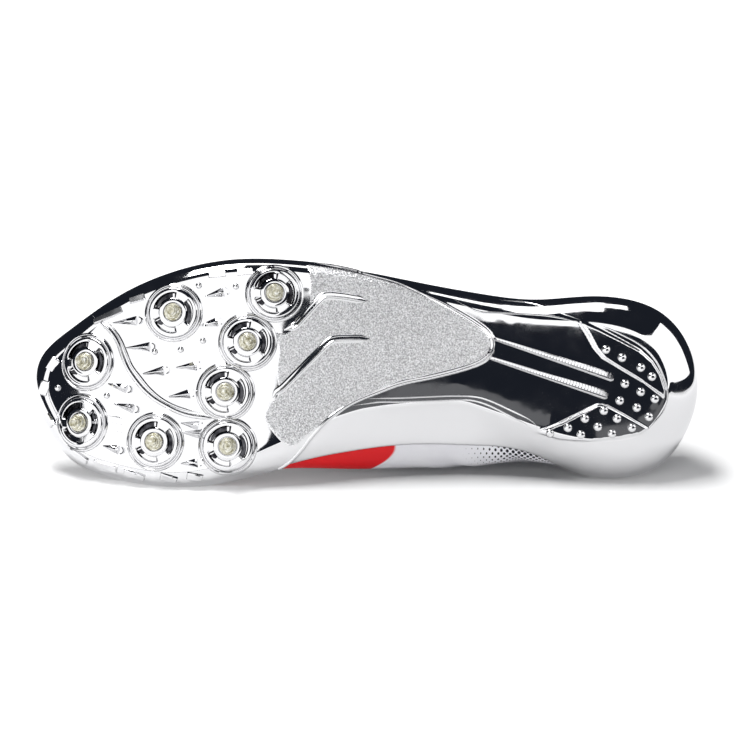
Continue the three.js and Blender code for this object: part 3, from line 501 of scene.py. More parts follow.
shell = Wall(SHELL_COLUMNS, shell_levels, shell_inner, GAP + SHELL_WALL, GAP, 20, True, 0.8)
shell_xy = shell.base.reshape(-1, 3)[:, :2]
PLATE_LINE = spaced([(x * LENGTH, y * BALL_WIDTH) for x, y in PLATE_EDGE], 1.5)
plate_area = np.vstack([PLATE_LINE, [(1.3 * LENGTH, -120), (1.3 * LENGTH, 120)]])
plate_distance = signed_distance(shell_xy, plate_area)
facet_distance = np.full(len(shell_xy), -1e9)
for facet in HEEL_FACETS:
    corners = np.array([(x * LENGTH, y * HEEL_WIDTH) for x, y in facet])
    facet_distance = np.maximum(facet_distance, signed_distance(shell_xy, corners))
blast_distance = signed_distance(shell_xy, spaced(BLAST_ZONE + BLAST_ZONE[:1], 1.5)[:-1])
side_fade = smooth((1.3 - shell.levels.reshape(-1)) / 0.3)
plate_lift = PLATE_STEP * smooth(plate_distance / 0.9 + 0.5)
facet_lift = HEEL_STEP * smooth(facet_distance / 0.8 + 0.5)
lift = (np.maximum(plate_lift, facet_lift) * side_fade).reshape(shell.levels.shape)
shell_points, shell_faces, shell_outer = shell.mesh(lift)
grid_width = len(shell_points) // SHELL_COLUMNS


def on_shell(values, rest):
    full = np.full((SHELL_COLUMNS, grid_width), rest, float)
    full[:, :shell_outer] = np.asarray(values).reshape(SHELL_COLUMNS, shell_outer)
    return full.reshape(-1)


outer_faces = [f for f in shell_faces if max(i % grid_width for i in f) < shell_outer]
SURFACE = BVHTree.FromPolygons([Vector(p) for p in shell_points], outer_faces)
PLAIN = BVHTree.FromPolygons([Vector(p) for p in shell.mesh(0 * lift)[0]], outer_faces)


def below(tree, x, y):
    hit = tree.ray_cast(Vector((x, y, -300)), Vector((0, 0, 1)))[0]
    return None if hit is None else np.array(hit)


def under(points):
    """Places on the sole's underside over points of the plan, with the way out there."""
    places, normals = [], []
    for x, y in np.asarray(points, float):
        place = below(SURFACE, x, y)
        if place is None:
            place = places[-1] + np.array([0.0, 0.0, 0.2])
        around = [below(PLAIN, x + dx, y + dy) for dx, dy in ((1, 0), (-1, 0), (0, 1), (0, -1))]
        if any(p is None for p in around):
            normal = normals[-1] if normals else np.array([0.0, 0.0, -1.0])
        else:
            normal = unit(-np.cross(around[0] - around[1], around[2] - around[3]))
        places.append(place)
        normals.append(normal)
    return np.array(places), np.array(normals)


def laid(path):
    """A path of the plan on the sole: its points, and the ways out, along and aside."""
    points, normals = under(path)
    along = unit(np.gradient(points, axis=0))
    return points, normals, along, unit(np.cross(normals, along))


def sweep(path, profile, widths, heights=None, shift=0.0):
    """A bar along a path of the plan that lies on the sole, with a profile of (side, height) points."""
    points, normals, _, sides = laid(path)
    heights = np.ones(len(points)) if heights is None else heights
    return loft([[p + side * (s * wide + shift) + normal * (h * high if h > 0 else h) for s, h in profile]
                 for p, side, normal, wide, high in zip(points, sides, normals, widths, heights)])


ROUND_BAR = [(-1, -0.5), (-1, 0.1), (-0.8, 0.55), (-0.45, 0.88), (0, 1), (0.45, 0.88), (0.8, 0.55), (1, 0.1),
             (1, -0.5)]
FLAT_BAR = [(-1, -0.5), (-1, 0.1), (-0.72, 0.9), (-0.55, 1), (0.55, 1), (0.72, 0.9), (1, 0.1), (1, -0.5)]


def strip(path, fade, side, height, profile=ROUND_BAR, shift=0.0):
    """A bar on the sole that tapers over so many points at either end."""
    at = np.arange(len(path))
    ends = smooth(np.minimum(at, at[::-1]) / fade) * 0.9 + 0.1
    return sweep(path, [(s * side, h * height) for s, h in profile], ends, ends, shift)


def well_axes(normal):
    """The ways towards the heel's side and across, in the plane of a well."""
    side = unit(np.array([-1.0, 0.0, 0.0]) - normal * -normal[0])
    front = np.cross(normal, side)
    return side, front if front[1] > 0 else -front


def turned(profile, place, normal, segments, turn=None, conform=0.0, closed=False):
    """A turned form on the sole. turn() adds height, and what is beyond conform follows the sole."""
    side, front = well_axes(normal)
    loops = []
    for r, h in profile:
        loop = []
        for a in np.arange(segments) * 2 * math.pi / segments:
            p = place + side * (r * math.cos(a)) + front * (r * math.sin(a))
            more = turn(a, r, h) if turn else 0.0
            if conform and r > conform:
                hit = SURFACE.ray_cast(Vector(p + normal * 12), Vector(-normal))[0]
                if hit is not None:
                    drop = float(np.dot(np.array(hit) - p, normal))
                    more += max(-6.0, drop) * smooth((r - conform) / (12.2 - conform))
            loop.append(p + normal * (h + more))
        loops.append(loop)
    return loft(loops, closed)


class Look:
    """A material, with short ways to add nodes. An input's name has _ for each space."""

    def __init__(self, name, color, metallic, roughness):
        self.material = bpy.data.materials.new(name)
        self.material.use_nodes = True
        self.nodes = self.material.node_tree.nodes
        self.shader = self.nodes["Principled BSDF"]
        self.place = self.nodes.new("ShaderNodeTexCoord").outputs["Object"]
        self.set(Base_Color=(*color, 1), Metallic=metallic, Roughness=roughness)

    def feed(self, socket, value):
        if isinstance(value, bpy.types.NodeSocket):
            self.material.node_tree.links.new(value, socket)
        else:
            socket.default_value = value

    def set(self, node=None, **inputs):
        for key, value in inputs.items():
            self.feed((node or self.shader).inputs[key.replace("_", " ")], value)

    def add(self, kind, output, settings=None, **inputs):
        made = self.nodes.new("ShaderNode" + kind)
        for key, value in (settings or {}).items():
            setattr(made, key, value)
        self.set(made, **inputs)
        return made.outputs[output]

    def noise(self, scale, detail):
        return self.add("TexNoise", "Fac", Scale=scale, Detail=detail, Vector=self.place)

    def cells(self, place, settings=None, **inputs):
        return self.add("TexVoronoi", "Distance", settings, Vector=place, **inputs)

    def wave(self, scale, distortion, way="X"):
        settings = {"bands_direction": way}
        return self.add("TexWave", "Fac", settings, Scale=scale, Distortion=distortion, Vector=self.place)

    def ramp(self, source, stops):
        made = self.nodes.new("ShaderNodeValToRGB")
        elements = made.color_ramp.elements
        for i, (position, color) in enumerate((stops[0], stops[-1])):
            elements[i].position = position
            elements[i].color = (*color, 1)
        for position, color in stops[1:-1]:
            elements.new(position).color = (*color, 1)
        self.feed(made.inputs["Fac"], source)
        return made.outputs["Color"]

    def bump(self, height, strength, distance, **before):
        return self.add("Bump", "Normal", Height=height, Strength=strength, Distance=distance, **before)

    def between(self, source, low, high, to_low=0.0, to_high=1.0):
        return self.add("MapRange", "Result", Value=source, From_Min=low, From_Max=high, To_Min=to_low,
                        To_Max=to_high)

    def attribute(self, name):
        return self.add("Attribute", "Fac", {"attribute_name": name})

    def math(self, operation, a, b, kind="Math", output="Value"):
        made = self.nodes.new("ShaderNode" + kind)
        made.operation = operation
        self.feed(made.inputs[0], a)
        self.feed(made.inputs[1], b)
        return made.outputs[output]

    def mix(self, factor, a, b):
        return self.add("Mix", "Result", {"data_type": "RGBA"}, Factor=factor, A=a, B=b)


CHROME_TINT = (0.64, 0.64, 0.65)
WHITE_RANGE = [(0.3, (0.80, 0.79, 0.84)), (0.7, (0.88, 0.88, 0.91))]
RED_PRINT = (0.78, 0.003, 0.008, 1)
DARK_PRINT = (0.012, 0.012, 0.02, 1)


# Vacuum plated chrome: a mirror with the plastic's slight waves, smudges, and where the attribute says so
# the fine sparkle of a sand-blasted face
def chrome_material(name, blasted, dull=0.0):
    look = Look(name, CHROME_TINT, 1.0, 0.05)
    rough = look.between(look.noise(130, 5), 0.35, 0.75, 0.03 + dull, 0.11 + dull)
    waves = look.bump(look.noise(55, 2), 0.10, 0.002)
    if blasted:
        zone = look.between(look.attribute("blast"), 1.2, 2.0)
        grain = look.math("ADD", look.cells(look.place, Scale=2300), look.noise(2600, 2))
        waves = look.bump(look.math("MULTIPLY", grain, zone), 0.55, 0.0003, Normal=waves)
        rough = look.math("ADD", rough, look.math("MULTIPLY", zone, 0.30))
        sparkle = look.ramp(look.noise(1700, 2), [(0.36, (0.36, 0.36, 0.37)), (0.66, (0.86, 0.86, 0.87))])
        look.set(Base_Color=look.mix(zone, (*CHROME_TINT, 1), sparkle))
    look.set(Roughness=rough, Normal=waves)
    return look.material


# A material whose colour and small relief follow one grain, which is noise or a diagonal weave. rough is
# the scale and detail of its smudges, and the roughness they run between.
def grained(name, color, metallic, roughness, grain, stops, relief, weave=False, rough=None, sheen=0.0):
    look = Look(name, color, metallic, roughness)
    source = look.wave(*grain, "DIAGONAL") if weave else look.noise(*grain)
    look.set(Normal=look.bump(source, *relief), Sheen_Weight=sheen)
    if stops:
        look.set(Base_Color=look.ramp(source, stops))
    if rough:
        look.set(Roughness=look.between(look.noise(*rough[:2]), 0.3, 0.7, *rough[2:]))
    return look.material


# The upper's coated textile: white with a faint lavender cast and a fine woven grain, and where it is
# printed a red forefoot and a field of dark dots
def textile_material(name, is_printed):
    look = Look(name, (0.86, 0.85, 0.90), 0.0, 0.5)
    woven = look.math("MULTIPLY", look.wave(700, 0.6), look.wave(700, 0.6, "Z"))
    color = look.ramp(look.noise(60, 4), WHITE_RANGE)
    if is_printed:
        color = look.mix(look.between(look.attribute("red"), -0.02, 0.02), color, RED_PRINT)
        place = look.add("CombineXYZ", "Vector", X=look.attribute("slant_a"), Y=look.attribute("slant_b"))
        grid = look.cells(place, {"voronoi_dimensions": "2D"}, Scale=1.0, Randomness=0.0)
        color = look.mix(look.math("LESS_THAN", grid, look.attribute("dots")), color, DARK_PRINT)
    look.set(Base_Color=color, Normal=look.bump(woven, 0.25, 0.0002), Coat_Weight=0.08, Coat_Roughness=0.3,
             Specular_IOR_Level=0.3)
    return look.material


SHELL = chrome_material("chrome_shell", True)
CHROME = chrome_material("chrome_relief", False)
SATIN = chrome_material("chrome_satin", False, 0.22)
TEXTILE = textile_material("upper_textile", True)
TONGUE_CLOTH = textile_material("tongue_textile", False)
# Painted shade: dark chrome for the wells' sunk floors, which see little but each other
WELL_SHADE = grained("well_painted_shade", (0.03, 0.03, 0.035), 1.0, 0.12, (400, 4),
                 [(0.35, (0.012, 0.012, 0.015)), (0.75, (0.10, 0.10, 0.11))], (0.15, 0.0004))
# Painted shade: the dark inside of an eyelet's hole, put on a disc
EYELET_HOLE_SHADE = grained("eyelet_painted_shade", (0.01, 0.01, 0.012), 0.0, 0.8, (900, 3),
                  [(0.3, (0.006, 0.006, 0.008)), (0.7, (0.02, 0.02, 0.024))], (0.4, 0.0004))
THREAD = grained("stitch_thread", (0.7, 0.7, 0.74), 0.0, 0.6, (2400, 2),
                 [(0.3, (0.56, 0.56, 0.60)), (0.7, (0.80, 0.80, 0.83))], (0.5, 0.0002), sheen=0.2)
PIN = grained("pin_metal", (0.85, 0.82, 0.68), 0.6, 0.35, (620, 4),
              [(0.3, (0.22, 0.20, 0.11)), (0.48, (0.55, 0.53, 0.42)), (0.7, (0.86, 0.86, 0.80))],
              (0.4, 0.0004), rough=(2200, 3, 0.25, 0.5))
STEEL = grained("receptacle_steel", (0.55, 0.54, 0.52), 1.0, 0.28, (900, 3), None, (0.25, 0.0003),
                rough=(900, 3, 0.2, 0.4))
LINING = grained("lining_knit", (0.03, 0.031, 0.036), 0.0, 0.9, (1200, 3),
                 [(0.3, (0.014, 0.014, 0.018)), (0.7, (0.07, 0.072, 0.082))], (0.6, 0.0004))
LACE = grained("lace_weave", (0.86, 0.86, 0.87), 0.0, 0.8, (420, 1.5),
               [(0.1, (0.66, 0.66, 0.69)), (0.8, (0.92, 0.92, 0.93))], (0.7, 0.0004), weave=True, sheen=0.3)

# The shell itself
outsole = piece("outsole_shell", [(shell_points, shell_faces)], SHELL, 60,
                {"blast": on_shell(blast_distance, -5)})
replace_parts(outsole, "outsole")

# The waist and the heel are very slightly dished towards the heel, which turns their mirror image
count = len(outsole.data.vertices)
directions = np.zeros(count * 3, np.float32)
outsole.data.vertices.foreach_get("normal", directions)
directions = directions.reshape(-1, 3)
share = shell_points[:, 0] / LENGTH
underneath = on_shell(smooth((0.12 - shell.levels) / 0.12), 0.0)
dish = smooth((0.50 - share) / 0.10) * (0.45 + 0.55 * smooth((share - 0.15) / 0.10)) * underneath
directions[:, 0] += HEEL_DISH * dish
outsole.data.normals_split_custom_set_from_vertices([tuple(n) for n in unit(directions)])

# The bead along the forefoot plate's edge, where it stands on the shell, and the step lines on the plate
plate_lines = [strip(PLATE_LINE[4:-4], 5, 0.75, 0.45)]
for line, side, height in zip(STEP_LINES, (0.9, 0.6), (0.8, 0.5)):
    plate_lines.append(strip(spaced(line, 1.0), 8, side, height))
piece("plate_lines", plate_lines, CHROME)

ribs = []
for line in FLEX_RIBS:
    path = spaced(line, 1.0)
    ribs += [strip(path, 4, 1.7, 0.5, FLAT_BAR), strip(path, 4, 0.6, 1.0, shift=-0.5)]
piece("flex_ribs", ribs, CHROME)

creases = [strip(spaced(line, 1.5), 8, 0.45, 0.28) for line in SHELL_CREASES]
creases += [strip(spaced(line, 1.2), 5, 0.4, 0.3) for line in FACET_EDGES]
piece("shell_creases", creases, CHROME)

# Each rib of the heel: a bead, a flat beside it, and on the flat a row of small slanted teeth
bars = []
for start, end in HEEL_RIBS:
    path = spaced([start, np.add(start, end) / 2, end], 1.0)
    widths = 0.7 + 1.25 * np.linspace(0, 1, len(path))
    widths[-1] *= 0.7
    widths[0] *= 0.6
    bars.append(sweep(path, [(s * 0.36 - 0.62, h * 1.15) for s, h in ROUND_BAR], widths))
    bars.append(sweep(path, [(s * 0.95, h * 0.06) for s, h in FLAT_BAR], widths))
    points, normals, along, sides = laid(path)
    for at in np.arange(2, len(path) - 2, 1.3):
        i = int(at)
        spot = points[i] + (points[i + 1] - points[i]) * (at - i)
        low = [spot + along[i] * a + sides[i] * s * widths[i]
               for a, s in ((-0.22, -0.25), (0.22, -0.25), (0.06, 0.95), (-0.38, 0.95))]
        high = [q * 0.6 + sum(low) / 4 * 0.4 + normals[i] * 0.6 for q in low]
        bars.append(loft([[q - normals[i] * 0.3 for q in low], [q + normals[i] * 0.25 for q in low], high]))
piece("heel_ribs", bars, CHROME)


# Spike wells: a ring, a groove, a convex ring and a trough round the hub, with three bridges across it
WELL_PROFILE = pairs(
    12.4, -1.2, 12.1, 0.1, 11.75, 0.7, 11.35, 0.85, 11, 0.65, 10.8, 0.3, 10.5, 0.3, 10.25, 0.9,
    10.05, 1.35, 9.8, 1.5, 9.4, 1.56, 8.8, 1.6, 8.45, 1.5, 8.25, 1.1, 8.1, 0.5, 7.9, 0.25, 6.3, 0.25,
    6.1, 0.5, 5.95, 1.5, 5.8, 1.95, 5.5, 2.1, 4.6, 2.18, 4.1, 2.15, 3.9, 1.9, 3.9, -1.2
)
TROUGH = (5.85, 8.5)
BRIDGE_TOP = 1.62
BRIDGES = [(60, 24), (182, 20), (300, 26)]  # middle and half angle, in degrees
# Painted shade on the wells' floors, as dark plates: from and to an angle, the inner and outer radius at the
# start and at the end
WELL_SHADE_PLATES = [(92, 164, 5.9, 8.3, 6.5, 7.6), (-46, 36, 6.0, 8.0, 5.7, 7.3), (206, 226, 5.9, 8.2, 5.9, 7.2)]
WELL_SEGMENTS = 96
PIN_SEGMENTS = 48


def bridges(angle, radius, height):
    if not TROUGH[0] < radius < TROUGH[1]:
        return 0.0
    lifted = 0.0
    for middle, half in BRIDGES:
        near = abs((angle - math.radians(middle) + math.pi) % (2 * math.pi) - math.pi)
        lifted = max(lifted, float(smooth((math.radians(half) - near) / 0.09)))
    return max(0.0, BRIDGE_TOP - height) * lifted


def painted_shade_plate(place, normal, start, end, inner, outer, inner_end, outer_end):
    """A thin dark plate of painted shade on a well's floor, from one angle to another, its width changing on
    the way.
    """
    side, front = well_axes(normal)
    loops = []
    for s in np.linspace(0, 1, 15):
        a = math.radians(start + (end - start) * s)
        trim = 0.25 * (1 - min(1.0, 8 * s, 8 * (1 - s)))
        low, high = inner + (inner_end - inner) * s + trim, outer + (outer_end - outer) * s - trim
        ray = side * math.cos(a) + front * math.sin(a)
        section = pairs(low, 0.1, low, 1.5, low + 0.25, 0.55, high - 0.25, 0.5, high, 1.35, high, 0.1)
        loops.append([place + ray * r + normal * h for r, h in section])
    return loft(loops)


wells = list(zip(*under([(x * LENGTH, y * BALL_WIDTH) for x, y in WELLS])))
piece("spike_wells", [turned(WELL_PROFILE, *well, WELL_SEGMENTS, bridges, 6.5) for well in wells], CHROME,
      40)
# Dark plates of painted shade on the wells' floors
piece("well_shade_plates", [painted_shade_plate(*well, *r) for well in wells for r in WELL_SHADE_PLATES], WELL_SHADE, 40)

base = HUB_HEIGHT - BORE_DEPTH + GAP
top = base + RECEPTACLE_HEIGHT
seat = top + GAP
tip = HUB_HEIGHT + SPIKE_HEIGHT
shank = THREAD_RADIUS - GAP
ring = pairs(THREAD_RADIUS, base, RECEPTACLE_RADIUS, base, RECEPTACLE_RADIUS, top - 0.2,
             RECEPTACLE_RADIUS - 0.2, top, THREAD_RADIUS + 0.3, top, THREAD_RADIUS, top - 0.3)
pin = pairs(0.01, seat - 2.2, shank, seat - 2.2, shank, seat, SPIKE_RADIUS - 0.1, seat,
            SPIKE_RADIUS, seat + 0.15, SPIKE_RADIUS, seat + 0.7, SPIKE_RADIUS - 0.15, seat + 0.85)
for share, low, high in ((0.86, 0.85, 2.5), (0.68, 2.5, 4.2), (0.52, 4.2, 5.3)):
    r = SPIKE_RADIUS * share
    pin += pairs(r, seat + low + 0.05, r - 0.12, seat + high - 0.15, r - 0.25, seat + high)
pin += pairs(1.2, tip - 0.1, 0.9, tip, 0.01, tip)
for number, well in enumerate(wells, 1):
    solid = turned(ring, *well, PIN_SEGMENTS, closed=True)
    made = piece("receptacle_ring_%d" % number, [solid], STEEL)
    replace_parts(made, "receptacle_%d" % number)
    made = piece("pin_%d" % number, [turned(pin, *well, PIN_SEGMENTS)], PIN)
    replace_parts(made, "spike_%d" % number)


# Wedge lugs, low behind and high in front, with a hollow in the front
def wedge(tail, head, width, height):
    tail, head = np.array(tail), np.array(head)
    places, normals = under([tail, head, (tail + head) / 2])
    normal = unit(normals.sum(0))
    along = unit(places[1] - places[0])
    side = unit(np.cross(normal, along))
    length = float(np.linalg.norm(places[1] - places[0]))
    section = pairs(-1, 0, -0.95, 0.04, -0.16, 0.96, 0, 1, 0.16, 0.96, 0.95, 0.04, 1, 0)
    loops = []
    for s in (0.0, 0.3, 0.6, 0.88, 1.0):
        middle = places[0] + along * length * s
        half = width / 2 * (0.12 + 0.88 * s)
        rise = height * (0.06 + 0.94 * s) * (0.8 if s == 1.0 else 1.0)
        loops.append([middle + side * a * half + normal * h * rise - normal * (0.7 if h == 0 else 0)
                      for a, h in section])
    return loft(loops)


def cup(tail, head, radius, height):
    """The half-round lip in front of a wedge."""
    turn = math.atan2(head[1] - tail[1], tail[0] - head[0])
    ahead = (head[0] - 0.9 * math.cos(turn), head[1] + 0.9 * math.sin(turn))
    (place,), (normal,) = under([ahead])
    side, front = well_axes(normal)
    section = pairs(radius, -0.5, radius, height, radius * 0.75, height * 0.9, radius * 0.6, -0.5)
    loops = []
    for s in np.linspace(-1, 1, 11):
        a = turn + s * 1.5
        ray = side * math.cos(a) + front * math.sin(a)
        end = 1 - 0.4 * abs(s) ** 3
        loops.append([place + ray * r + normal * h * end for r, h in section])
    return loft(loops)


lugs = [wedge(tail, head, 4.2, 2.3) for tail, head in TEETH]
lugs += [cup(tail, head, 1.6, 1.2) for tail, head in TEETH]
lugs += [wedge(tail, head, 0.7, 0.5) for tail, head in FINE_BARS]
piece("wedge_lugs", lugs, CHROME, 25)

DOME = pairs(1, -0.6, 1, 0, 0.97, 0.3, 0.86, 0.58, 0.68, 0.8, 0.42, 0.94, 0.15, 1, 0.01, 1)
domes = []
for spots, radius, height, segments in ((BUMPS, 1.3, 1.2, 20), (NUBS, 1.75, 1.15, 24)):
    profile = [(r * radius, h * height) for r, h in DOME]
    domes += [turned(profile, place, normal, segments) for place, normal in zip(*under(spots))]
piece("round_nubs", domes, CHROME, 50)


def drawn_in(point):
    """The point, moved towards the middle of the forefoot until it lies well on the sole."""
    point, middle = np.array(point, float), np.array([215.0, 5.0])
    while below(PLAIN, *(point + unit(point - middle) * 1.8)) is None:
        point = point - unit(point - middle) * 0.25
    return point


def edge_bar(tail, head, width, inner, outer):
    """A bar at the forefoot's edge, with the heights of its inner and outer sides."""
    tail, head = drawn_in(tail), drawn_in(head)
    path = spaced([tail, (tail + head) / 2, head], 1.0)
    points, normals, along, sides = laid(path)
    is_lateral = float(np.mean(points[:, 1])) > 3
    if (float(np.mean(sides[:, 1])) < 0) == is_lateral:
        sides = -sides
    loops = []
    for i in range(len(path)):
        at_end = i in (0, len(path) - 1)
        low, high = (0.15 * inner, 0.15 * outer) if at_end else (inner, outer)
        spot = points[i] + (along[i] * 0.6 * (1 if i == 0 else -1) if at_end else 0)
        section = pairs(-1, -0.6, -1, low * 0.7, -0.82, low, 0.82, high, 1, high * 0.7, 1, -0.6)
        loops.append([spot + sides[i] * s * width / 2 + normals[i] * h for s, h in section])
    return loft(loops)


lateral_bars = [edge_bar(tail, head, 2.6, 1.2, 0.4) for tail, head in EDGE_BARS_LATERAL]
piece("edge_lugs_lateral", lateral_bars, SATIN, 30)
medial_bars = [edge_bar(tail, head, 3.2, 0.8, 0.8) for tail, head in EDGE_BARS_MEDIAL]
medial_bars += [edge_bar(tail, head, 3.6, 0.3, 1.7) for tail, head in EDGE_BARS_TOE]
piece("edge_lugs_medial", medial_bars, CHROME, 30)


# The upper, with its lining inside
UPPER_COLUMNS = 448


def upper_levels(row):
    return np.concatenate([np.linspace(-LASTING_MARGIN / half_width(row), 0, 5), np.linspace(0, 2, 65)[1:]])


def upper_inner(row):
    return np.concatenate([[-LASTING_MARGIN / half_width(row), 0], np.linspace(0, 2, 17)[1:]])


skin = Wall(UPPER_COLUMNS, upper_levels, upper_inner, 0.0, -UPPER_WALL, 6, False, 0.7)
station = np.minimum(skin.rows, RIBS - skin.rows)  # 0 at the heel, TOE_ROW at the toe


def toe_line(station):
    """The level of the toe overlay's edge, which climbs towards the toe."""
    return 0.45 + 0.75 * smooth((station - 10.2) / 3.2)


def counter_line(station):
    """The level of the heel counter's edge, which falls forwards."""
    return 1.5 - 1.1 * smooth((station - 0.6) / 3.0)


def step_up(distance, width):
    return smooth(distance / width + 0.5)


stay = step_up(skin.levels - STAY_LEVEL, 0.03) * step_up(station - 6.6, 0.12) * step_up(12.4 - station, 0.12)
hem = step_up(skin.levels - HEM_LEVEL, 0.04) * step_up(6.7 - station, 0.12)
toe_overlay = step_up(toe_line(station) - skin.levels, 0.03) * step_up(station - 10.2, 0.12)
counter = step_up(counter_line(station) - skin.levels, 0.03) * step_up(3.6 - station, 0.12)
pad = np.exp(-(((skin.levels - 1.66) / 0.17) ** 2)) * smooth((5.6 - station) / 2.2)
upper_lift = 0.45 * stay + 0.4 * hem + 0.4 * np.maximum(toe_overlay, counter) + 0.9 * pad
for middle, slant, depth, wide, low_end, high_end in CREASES:
    off = station - middle - slant * (skin.levels - 1)
    ends = smooth((skin.levels - low_end) / 0.3) * smooth((high_end - skin.levels) / 0.25)
    trough, before, after = [np.exp(-(((off - shift * wide) / (size * wide)) ** 2))
                             for shift, size in ((0, 1), (2.1, 1.3), (-2.1, 1.3))]
    upper_lift = upper_lift + ends * depth * (0.55 * (before + after) - trough)
upper_lift = upper_lift * smooth((skin.levels - 0.02) / 0.2)
upper_points, upper_faces, upper_outer = skin.mesh(upper_lift)
upper_width = len(upper_points) // UPPER_COLUMNS

# What is printed on it: the red block, and dots on a slanted grid, where "dots" is their radius
row_values = np.repeat(skin.rows[:, :1], upper_width, 1)
level_values = np.full(row_values.shape, -2.0)
level_values[:, :upper_outer] = skin.levels
red_from = 21.7 - 0.4 * smooth((level_values - 0.5) / 0.5)
medial_red = np.minimum(red_from - row_values, row_values - 17.4)
lateral_red = np.minimum(row_values - (RIBS - red_from), 10.6 - row_values)
red = np.maximum(medial_red, lateral_red).reshape(-1)
across, height = upper_points[:, 0], upper_points[:, 2]
dots = 0.46 * smooth((105 - across) / 34) * smooth((across - 34) / 12)
dots = dots * smooth((1.35 - level_values.reshape(-1)) / 0.8) - 0.02
upper = piece("upper_skin", [(upper_points, upper_faces)], TEXTILE, 50,
              {"red": red, "dots": dots, "slant_a": (across + height) / DOT_PITCH,
               "slant_b": (across - height) / DOT_PITCH})
upper.visible_diffuse = False
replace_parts(upper, "upper")
upper.data.materials.append(LINING)
is_inner = [min(v % upper_width for v in face.vertices) >= upper_outer + 2 for face in upper.data.polygons]
upper.data.polygons.foreach_set("material_index", np.array(is_inner, np.int32))



# Seams: a row of stitches beside the edge of each overlay
def seam(stations, levels, side):
    rows, levels = np.broadcast_arrays(np.asarray(stations) * side % RIBS, levels)
    points = off_last(rows, levels, np.full(len(rows), 0.5))
    normals = last_normal(rows, levels)
    run = np.concatenate([[0], np.cumsum(np.linalg.norm(np.diff(points, axis=0), axis=1))])
    made = []
    for at in np.arange(1.8, run[-1] - 1.8, STITCH_PITCH):
        start, end, normal = [np.array([np.interp(at + d, run, line[:, i]) for i in range(3)])
                              for d, line in ((-1.05, points), (1.05, points), (0, normals))]
        out = unit(normal)
        aside = unit(np.cross(out, end - start))
        made.append(loft([[start + (end - start) * s + aside * a * 0.3 * size + out * b * 0.24 * size
                           for a, b in pairs(-1, -1, 1, -1, 1, 0.5, 0, 1, -1, 0.5)]
                          for s, size in pairs(0, 0.35, 0.2, 1, 0.8, 1, 1, 0.35)]))
    return made


stay_run, toe_run, counter_run = [np.linspace(*ends) for ends in
                                  ((6.75, 12.3, 60), (10.4, 13.95, 60), (0.05, 3.4, 50))]
SEAMS = [
    (stay_run, STAY_LEVEL + 0.045), (stay_run, STAY_LEVEL + 0.10),
    (12.25, np.linspace(STAY_LEVEL + 0.1, 1.97, 12)), (np.linspace(0, 6.6, 70), HEM_LEVEL + 0.05),
    (toe_run, toe_line(toe_run) - 0.05), (counter_run, counter_line(counter_run) - 0.05),
]
stitches = [stitch for side in (1, -1) for line in SEAMS for stitch in seam(*line, side)]
piece("upper_stitches", stitches, THREAD, 60)



# The insole
def insole_levels(count):
    return lambda row: np.linspace(-1, -INSOLE_EDGE / half_width(row), count)


insole_top = -(UPPER_WALL + GAP)
insole = Wall(224, insole_levels(14), insole_levels(6), insole_top, insole_top - INSOLE_WALL, 6, True, 1.0)
solid = insole.mesh(np.zeros(insole.levels.shape))[:2]
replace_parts(piece("insole_pad", [solid], LINING, 50), "insole")


# Marks across the instep at closely set rows: medial side, middle, lateral side
INSTEP_ROWS = np.linspace(6.8, 11.8, 101)


def instep_marks():
    marks = [TONGUE_LEVEL, EYELET_LEVEL, 2.0]
    rows = INSTEP_ROWS
    medial = [(last_point(RIBS - rows, m), last_normal(RIBS - rows, m)) for m in marks]
    lateral = [(last_point(rows, m), last_normal(rows, m)) for m in marks][::-1]
    normal = unit(medial[2][1] + lateral[0][1])
    half = np.linalg.norm(medial[2][0] - lateral[0][0], axis=1) / 2
    rise = 0.85 * half * np.tan(np.radians(column("slope", rows)) / 2)
    middle = (medial[2][0] + lateral[0][0]) / 2 + normal * rise[:, None]
    every = medial + [(middle, normal)] + lateral
    return np.stack([p for p, _ in every], 1), np.stack([n for _, n in every], 1)


MARK_POINTS, MARK_NORMALS = instep_marks()


# The instep over the throat: across runs from -1, medial, to 1, lateral
def instep(row, across, off):
    at = (row - INSTEP_ROWS[0]) / (INSTEP_ROWS[1] - INSTEP_ROWS[0])
    i = min(max(int(at), 0), len(INSTEP_ROWS) - 2)
    s = at - i
    points = MARK_POINTS[i] * (1 - s) + MARK_POINTS[i + 1] * s
    normals = MARK_NORMALS[i] * (1 - s) + MARK_NORMALS[i + 1] * s
    return through(points + normals * off, (across + 1) / 2)


def through(points, share):
    """A point of the centripetal curve through the points, at a share of its spans."""
    spans = len(points) - 1
    at = min(max(share, 0.0), 1.0) * spans
    i = min(int(at), spans - 1)
    w = at - i
    p1, p2 = points[i], points[i + 1]
    p0 = points[i - 1] if i > 0 else 2 * points[0] - points[1]
    p3 = points[i + 2] if i + 2 <= spans else 2 * points[-1] - points[-2]
    d0, d1, d2 = [max(1e-4, float(np.linalg.norm(b - a)) ** 0.5) for a, b in ((p0, p1), (p1, p2), (p2, p3))]
    t1 = (p1 - p0) / d0 - (p2 - p0) / (d0 + d1) + (p2 - p1) / d1
    t2 = (p2 - p1) / d1 - (p3 - p1) / (d1 + d2) + (p3 - p2) / d2
    t1, t2 = t1 * d1, t2 * d1
    return p1 + t1 * w + (3 * (p2 - p1) - 2 * t1 - t2) * w**2 + (2 * (p1 - p2) + t1 + t2) * w**3


# The tongue: a padded sheet under the lace, its edges rounded and its face a little full between them
top_off = -(UPPER_WALL + TONGUE_SLACK)
rows = np.linspace(7, 11.5, 28)
narrowing = np.interp(np.arange(28), [0, 3, 6, 9], [0.54, 0.76, 0.92, 1.0])
raised = np.array([-0.045 * LENGTH, 0, 0.115 * INSTEP_HEIGHT])
tucked = np.array([0.045 * LENGTH, 0, -0.085 * INSTEP_HEIGHT])
sunk = np.array([0, 0, -0.02 * INSTEP_HEIGHT])


